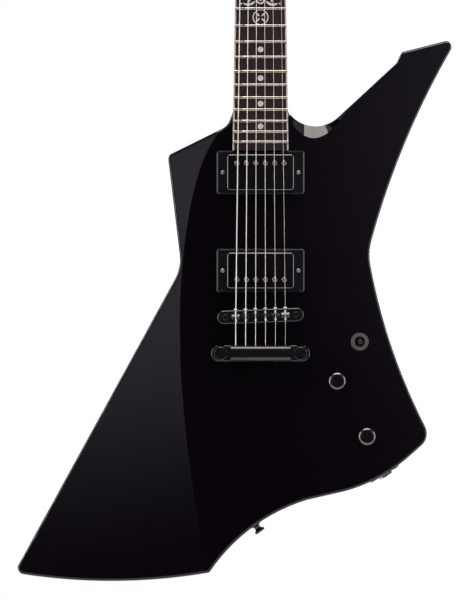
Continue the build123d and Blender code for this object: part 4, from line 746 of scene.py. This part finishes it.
@dataclass
class StringSet:
    """Six strings from the stop bar over the saddles and the nut to the posts.

    Attributes:
        wardrobe: The finishes.
        gauges: The strings, thickest first.
        nut_spread: From the first to the last string at the nut.
        nut_clearance: How far the strings lie under the nut's highest point.
        ball_radius: Radius of a ball end.
        post_radius: Radius of a tuner's post.
        post_tip_drop: How far below the post's tip the first turn lies.
        nut_arch: Radius of the nut's round top.
        nut_bend: How far from the nut's edge the bend starts.
        wrap_pitch: Distance between the ridges of a wound string, in its diameters.
        plain_steps: Pieces along a plain stretch.
        head_steps: Pieces from nut to post.
        twist_steps: Pieces along the twisted end.
        twist_bulge: How much thicker the twist's ridges are.
        wound_turns: Turns of a wound string on its post.
        plain_turns: Turns of a plain string on its post.
        turn_spacing: Rise of one turn, in diameters.
        steps_a_turn: Points along one turn.
        head_tilt: How far the headstock leans back.
        made: Every piece so far.
    """

    wardrobe: Wardrobe
    gauges: tuple[StringGauge, ...] = (
        StringGauge(1.168 * MM, True),
        StringGauge(0.914 * MM, True),
        StringGauge(0.66 * MM, True),
        StringGauge(0.432 * MM, False),
        StringGauge(0.33 * MM, False),
        StringGauge(0.254 * MM, False),
    )
    nut_spread: float = 35.0 * MM
    nut_clearance: float = 0.9 * MM
    ball_radius: float = 1.8 * MM
    post_radius: float = 3.0 * MM
    post_tip_drop: float = 8.0 * MM
    nut_arch: float = 350.0 * MM
    nut_bend: float = 1.2 * MM
    wrap_pitch: float = 0.75
    plain_steps: int = 24
    head_steps: int = 12
    twist_steps: int = 28
    twist_bulge: float = 0.35
    wound_turns: float = 2.5
    plain_turns: float = 3.5
    turn_spacing: float = 1.04
    steps_a_turn: int = 28
    head_tilt: float = math.radians(13.0)
    made: list[bpy.types.Object] = field(default_factory=list)

    def build(self) -> None:
        """Builds every string and hides the plain CAD strings."""
        for number in range(1, STRING_COUNT + 1):
            self._string(number, self.gauges[number - 1])
        for piece in self.made:
            self.wardrobe.dress(piece, Slot.STRING)
        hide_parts("strings")

    def _keep(self, piece: bpy.types.Object) -> bpy.types.Object:
        """Remembers a piece so that it is dressed with the others."""
        self.made.append(piece)
        return piece

    def _over_nut(self, number: int, radius: float, z: float) -> Vector:
        """Where a string crosses the nut at height z."""
        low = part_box("nut")[0]
        x = self.nut_spread * ((number - 1) / (STRING_COUNT - 1) - 0.5)
        arch = x * x / (2 * self.nut_arch)
        return Vector((x, low.y + self.nut_clearance + arch - radius, z))

    def _over_saddle(self, number: int, radius: float) -> Vector:
        """Where a string crosses its saddle."""
        low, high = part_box(f"saddle_{number}")
        return Vector(((low.x + high.x) / 2, low.y - radius, (low.z + high.z) / 2))

    def _string(self, number: int, gauge: StringGauge) -> None:
        """Builds one string in stretches; some ride on a body, the ones between bodies stay where they are
        built.

        Args:
            number: 1 for the thickest string.
            gauge: Its size and kind.
        """
        radius = gauge.diameter / 2
        name = f"string_{number}"
        tail_low, tail_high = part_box("tailpiece")
        saddle = self._over_saddle(number, radius)
        at_nut = self._over_nut(number, radius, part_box("nut")[0].z)
        hole_y = (tail_low.y + tail_high.y) / 2
        tail_z = (tail_low.z + tail_high.z) / 2
        front_of_bar = Vector((saddle.x, hole_y, tail_high.z))
        middle = saddle.lerp(front_of_bar, 0.5)
        self._stretch(f"{name}_speaking", gauge, at_nut, saddle)
        self._stretch(f"{name}_after_saddle", gauge, saddle, middle)
        self._stretch(f"{name}_before_tail", gauge, middle, front_of_bar)
        ball = Vector((saddle.x, hole_y, tail_z - (tail_high.z - tail_low.z) / 4))
        self._ball_end(f"{name}_ball_end", front_of_bar, ball, radius)
        self._head_stretch(number, gauge)

    def _stretch(
        self,
        name: str,
        gauge: StringGauge,
        start: Vector,
        end: Vector,
    ) -> None:
        """A straight stretch between two bodies, fixed where it is built.

        Args:
            name: The piece's name.
            gauge: The string's size and kind.
            start: Its end on the first body.
            end: Its end on the last body.
        """
        radius = gauge.diameter / 2
        if gauge.wound:
            piece = wound_along(name, start, end, radius, self.wrap_pitch * gauge.diameter)
        else:
            steps = self.plain_steps
            piece = wire_along(name, [start.lerp(end, k / steps) for k in range(steps + 1)], radius)
        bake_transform(self._keep(piece))

    def _ball_end(self, name: str, front: Vector, ball: Vector, radius: float) -> None:
        """The twisted end of a string in the stop bar, closed by its grooved ball.

        Args:
            name: The piece's name.
            front: Where the string enters the bar.
            ball: The middle of the ball.
            radius: The string's radius.
        """
        steps = self.twist_steps
        rings = []
        for k, frame in enumerate(frames_along([front.lerp(ball, j / steps) for j in range(steps + 1)])):
            twist = 1.0 + self.twist_bulge * (k % 2) * (k > steps / 3)
            rings.append((*frame, radius * twist))
        across, up = frames_along([front, ball])[1][1:]
        ahead = (ball - front).normalized()
        for along, wide in BALL_PROFILE:
            rings.append((ball + ahead * (along * self.ball_radius), across, up, wide * self.ball_radius))
        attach(self._keep(tube(name, rings, 12)), "tailpiece")

    def _head_stretch(self, number: int, gauge: StringGauge) -> None:
        """The stretch from the nut to the post, and the turns round the post.

        Args:
            number: 1 for the thickest string.
            gauge: Its size and kind.
        """
        radius = gauge.diameter / 2
        nut_low, nut_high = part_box("nut")
        post_low, post_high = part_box(f"tuner_post_{number}")
        up = Vector((0.0, -math.cos(self.head_tilt), math.sin(self.head_tilt)))
        along = Vector((0.0, math.sin(self.head_tilt), math.cos(self.head_tilt)))
        post_x = (post_low.x + post_high.x) / 2
        side = 1.0 if post_x > 0 else -1.0
        tip = Vector((post_x, post_low.y, post_high.z)) - along * self.post_radius
        turns = self.wound_turns if gauge.wound else self.plain_turns
        rise = gauge.diameter * self.turn_spacing
        first_turn = tip - up * self.post_tip_drop
        coil_radius = self.post_radius + radius
        contact = first_turn + Vector((-side * coil_radius, 0.0, 0.0))
        leave = self._over_nut(number, radius, nut_high.z)
        start = self._over_nut(number, radius, nut_low.z)
        points = [start, *arc_points(leave, start, contact, self.nut_bend), contact]
        steps = self.head_steps
        fine = points[:-2] + [points[-2].lerp(contact, k / steps) for k in range(steps + 1)]
        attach(self._keep(wire_along(f"string_{number}_head", fine, radius, 10)), "root")
        helix = []
        count = int(turns * self.steps_a_turn)
        for k in range(count + 1):
            angle = 2 * math.pi * turns * k / count
            spoke = -side * math.cos(angle) * Vector((1.0, 0.0, 0.0)) + math.sin(angle) * along
            helix.append(first_turn + coil_radius * spoke - up * (rise * turns * k / count))
        piece = wire_along(f"string_{number}_windings", helix, radius, 8)
        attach(self._keep(piece), f"tuner_post_{number}")


# ------------------------------------------------------------------ pickup springs
@dataclass
class HeightSprings:
    """Coil springs on the pickups' height screws, fixed where they are built.

    Attributes:
        wardrobe: The finishes.
        cad_springs: The plain CAD springs, which give the places.
        wire: The wire's diameter.
        turns: Turns of a spring.
        steps_a_turn: Points along one turn.
        pickup_reach: How far from a pickup's middle its springs can lie along Z.
    """

    wardrobe: Wardrobe
    cad_springs: bpy.types.Object
    wire: float = 0.8 * MM
    turns: float = 9.0
    steps_a_turn: int = 16
    pickup_reach: float = 20.0 * MM

    def build(self) -> None:
        """Builds a spring at each CAD spring and hides the CAD ones."""
        for body in ("neck_pickup", "bridge_pickup"):
            ring_z = centre(f"{body}_cover").z
            for side, way in (("bass", -1), ("treble", 1)):
                self._spring(f"{body}_{side}_spring", body, way, ring_z)
        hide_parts("pickup_springs")

    def _spring(self, name: str, body: str, way: int, z: float) -> bpy.types.Object:
        """One spring between the ring and the pickup's ear.

        Args:
            name: The piece's name.
            body: The pickup that it holds up; not used.
            way: -1 on the bass side, 1 on the treble side.
            z: Height of the pickup's middle.

        Returns:
            The spring's mesh.
        """
        spots = [vertex.co for vertex in self.cad_springs.data.vertices]
        near = [spot for spot in spots if abs(spot.z - z) < self.pickup_reach and spot.x * way > 0]
        low = Vector(min(c[axis] for c in near) for axis in range(3))
        high = Vector(max(c[axis] for c in near) for axis in range(3))
        middle = (low + high) / 2
        radius = (high.x - low.x) / 2 - self.wire / 2
        start, end = low.y + self.wire / 2, high.y - self.wire / 2
        count = int(self.turns * self.steps_a_turn)
        points = []
        for k in range(count + 1):
            angle = 2 * math.pi * k / self.steps_a_turn
            y = start + (end - start) * k / count
            aside, rise = radius * math.cos(angle), radius * math.sin(angle)
            points.append(Vector((middle.x + aside, y, middle.z + rise)))
        piece = wire_along(name, points, self.wire / 2)
        self.wardrobe.dress(piece, Slot.STEEL)
        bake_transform(piece)
        return piece


# ------------------------------------------------------------------ CAD pieces
@dataclass
class Hardware:
    """The CAD pieces, each kept as it is and dressed in its slot's finish."""

    wardrobe: Wardrobe
    frame: dict

    def build(self) -> None:
        """Dresses every CAD node that is shown."""
        slots = {part["node"]: Slot(part["material_slot"]) for part in self.frame["record"]["subparts"]}
        for name, piece in self.frame["nodes"].items():
            if not piece.hide_render:
                self.wardrobe.dress(piece, slots[name])
                log.info("dressed %s in %s", name, slots[name].value)


# ------------------------------------------------------------------ studio
@dataclass(frozen=True)
class Softbox:
    """A rectangular soft light that faces a point.

    Attributes:
        name: The light's name.
        spot: Where it hangs, from the middle of the body.
        size: Its width and height.
        power: Its power in watts.
        tint: Its colour.
    """

    name: str
    spot: Colour
    size: tuple[float, float]
    power: float
    tint: Colour = (1.0, 1.0, 1.0)

    def build(self, target: Vector) -> None:
        """Hangs the light.

        Args:
            target: The point that it faces.
        """
        data = bpy.data.lights.new(self.name, "AREA")
        data.shape = "RECTANGLE"
        data.size, data.size_y = self.size
        data.energy = self.power
        data.color = self.tint
        light = bpy.data.objects.new(self.name, data)
        light.location = target + Vector(self.spot)
        light.rotation_euler = (-Vector(self.spot)).to_track_quat("-Z", "Y").to_euler()
        bpy.context.scene.collection.objects.link(light)


@dataclass(frozen=True)
class Lobe:
    """A soft patch of light in the surroundings.

    Attributes:
        azimuth: Degrees to the right of the way from the guitar to the camera.
        elevation: Degrees above level.
        inner: Degrees from its middle to where it starts to fade.
        outer: Degrees from its middle to where it is gone.
        colour: Its brightness and tint.
    """

    azimuth: float
    elevation: float
    inner: float
    outer: float
    colour: Colour


@dataclass
class Studio:
    """Pale floor, dim surroundings that the lacquer mirrors, softboxes and the camera.

    Attributes:
        softboxes: The lamps round the guitar.
        lobes: Soft patches of light that the lacquer mirrors.
        gloom: The surroundings' colour away from the lobes.
        backdrop: What the camera sees behind the guitar.
        floor_drop: How far the floor lies under the guitar.
        floor_radius: The floor's radius.
        floor_rim: Width of the floor's outermost ring of mesh.
        floor_sides: Points round the floor.
        camera_distance: From the camera to the body's front face.
        view_height: The taller side of the view, at the body's front face.
        view_centre: X and Z of the view's middle.
        sensor: The sensor's size in millimetres, for the lens.
    """

    softboxes: tuple[Softbox, ...] = (
        Softbox("overhead_light", (0.05, -0.5, 1.5), (1.6, 0.8), 26.0, (1.0, 0.96, 0.91)),
        Softbox("upper_light", (0.0, -2.0, 1.9), (1.2, 0.6), 9.0, (1.0, 0.97, 0.93)),
        Softbox("left_light", (-2.2, -0.75, 0.2), (1.6, 2.4), 40.0, (0.95, 0.97, 1.0)),
        Softbox("right_light", (2.2, -0.75, 0.1), (1.6, 2.4), 38.0, (0.95, 0.97, 1.0)),
        Softbox("rear_left_light", (-1.7, 2.2, 0.9), (0.8, 1.6), 30.0),
        Softbox("rear_right_light", (1.5, 2.4, 0.7), (0.6, 1.6), 24.0),
    )
    lobes: tuple[Lobe, ...] = (
        Lobe(-14.0, 6.0, 6.0, 12.5, (0.56, 0.53, 0.62)),
        Lobe(12.0, 4.0, 5.0, 13.0, (0.38, 0.34, 0.46)),
        Lobe(82.0, 50.0, 14.0, 34.0, (0.42, 0.41, 0.52)),
        Lobe(-82.0, 50.0, 14.0, 34.0, (0.42, 0.41, 0.52)),
    )
    gloom: Colour = (0.004, 0.0038, 0.0042)
    backdrop: Colour = (1.0, 1.0, 1.0)
    floor_drop: float = 0.12
    floor_radius: float = 1.0
    floor_rim: float = 1.0 / 12
    floor_sides: int = 96
    camera_distance: float = 4.0
    view_height: float = 0.6228
    view_centre: tuple[float, float] = (-0.028, -0.6160)
    sensor: float = 36.0

    def build(self, bounds: tuple[Vector, Vector]) -> None:
        """Lights the guitar and places the camera.

        Args:
            bounds: The object's lowest and highest corners.
        """
        low, high = bounds
        target = Vector((self.view_centre[0], (low.y + high.y) / 2, self.view_centre[1]))
        for softbox in self.softboxes:
            softbox.build(target)
        self._surroundings()
        self._floor(low)
        self._camera()
        bpy.context.scene.view_settings.view_transform = "Standard"

    def _surroundings(self) -> None:
        """Dim surroundings with soft lobes; the camera sees a plain white behind."""
        world = bpy.data.worlds.new("surroundings")
        world.use_nodes = True
        bpy.context.scene.world = world
        graph = Graph(world.node_tree)
        facing = graph.node("ShaderNodeTexCoord", output=0)
        light = graph.mix(0.0, self.gloom, self.gloom)
        for lobe in self.lobes:
            turn, lift = math.radians(lobe.azimuth), math.radians(lobe.elevation)
            middle = (math.sin(turn) * math.cos(lift), -math.cos(turn) * math.cos(lift), math.sin(lift))
            near = graph.vector("DOT_PRODUCT", facing, middle, output=1)
            angle = graph.maths("ARCCOSINE", graph.maths("MINIMUM", near, 1.0)) * (180 / math.pi)
            share = 1.0 - graph.step(angle, lobe.inner, lobe.outer)
            glow = graph.mix(share, (0.0, 0.0, 0.0), lobe.colour)
            light = graph.vector("ADD", light, glow)
        seen = graph.node("ShaderNodeLightPath")
        shown = graph.mix(seen, light, self.backdrop)
        background = graph.node("ShaderNodeBackground", None, {"Color": shown})
        graph.node("ShaderNodeOutputWorld", None, {"Surface": background})

    def _floor(self, low: Vector) -> None:
        """A round pale floor under the guitar."""
        mesh = bmesh.new()
        bmesh.ops.create_circle(mesh, cap_ends=True, radius=self.floor_radius, segments=self.floor_sides)
        bmesh.ops.inset_region(mesh, faces=mesh.faces[:], thickness=self.floor_rim)
        data = bpy.data.meshes.new("floor")
        mesh.to_mesh(data)
        mesh.free()
        floor = bpy.data.objects.new("floor", data)
        floor.location = (self.view_centre[0], 0.0, low.z - self.floor_drop)
        bpy.context.scene.collection.objects.link(floor)
        material = bpy.data.materials.new("pale_floor")
        material.use_nodes = True
        graph = Graph(material.node_tree)
        cloud = graph.noise(graph.place(), 3.0, 3.0)
        sockets = {
            "Base Color": graph.mix(cloud, (0.86, 0.86, 0.87), (0.9, 0.9, 0.9)),
            "Roughness": 0.55 + 0.1 * cloud,
        }
        shader = graph.node("ShaderNodeBsdfPrincipled", None, sockets)
        graph.node("ShaderNodeOutputMaterial", None, {"Surface": shader})
        data.materials.append(material)
        floor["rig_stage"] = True

    def _camera(self) -> None:
        """A level camera in front of the body."""
        data = bpy.data.cameras.new("camera")
        data.sensor_width = self.sensor
        data.lens = self.sensor * self.camera_distance / self.view_height
        data.clip_end = 50.0
        camera = bpy.data.objects.new("camera", data)
        camera.location = (self.view_centre[0], -self.camera_distance, self.view_centre[1])
        camera.rotation_euler = (math.pi / 2, 0.0, 0.0)
        bpy.context.scene.collection.objects.link(camera)
        bpy.context.scene.camera = camera


def main() -> None:
    """Loads the frame, builds the looks in order and sets the studio."""
    logging.basicConfig(level=logging.INFO, format="%(name)s: %(message)s")
    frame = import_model()
    cad_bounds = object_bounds()
    wardrobe = Wardrobe(FINISHES)
    StringSet(wardrobe).build()
    HeightSprings(wardrobe, frame["nodes"]["pickup_springs"]).build()
    Hardware(wardrobe, frame).build()
    Studio().build(cad_bounds)


if __name__ == "__main__":
    main()
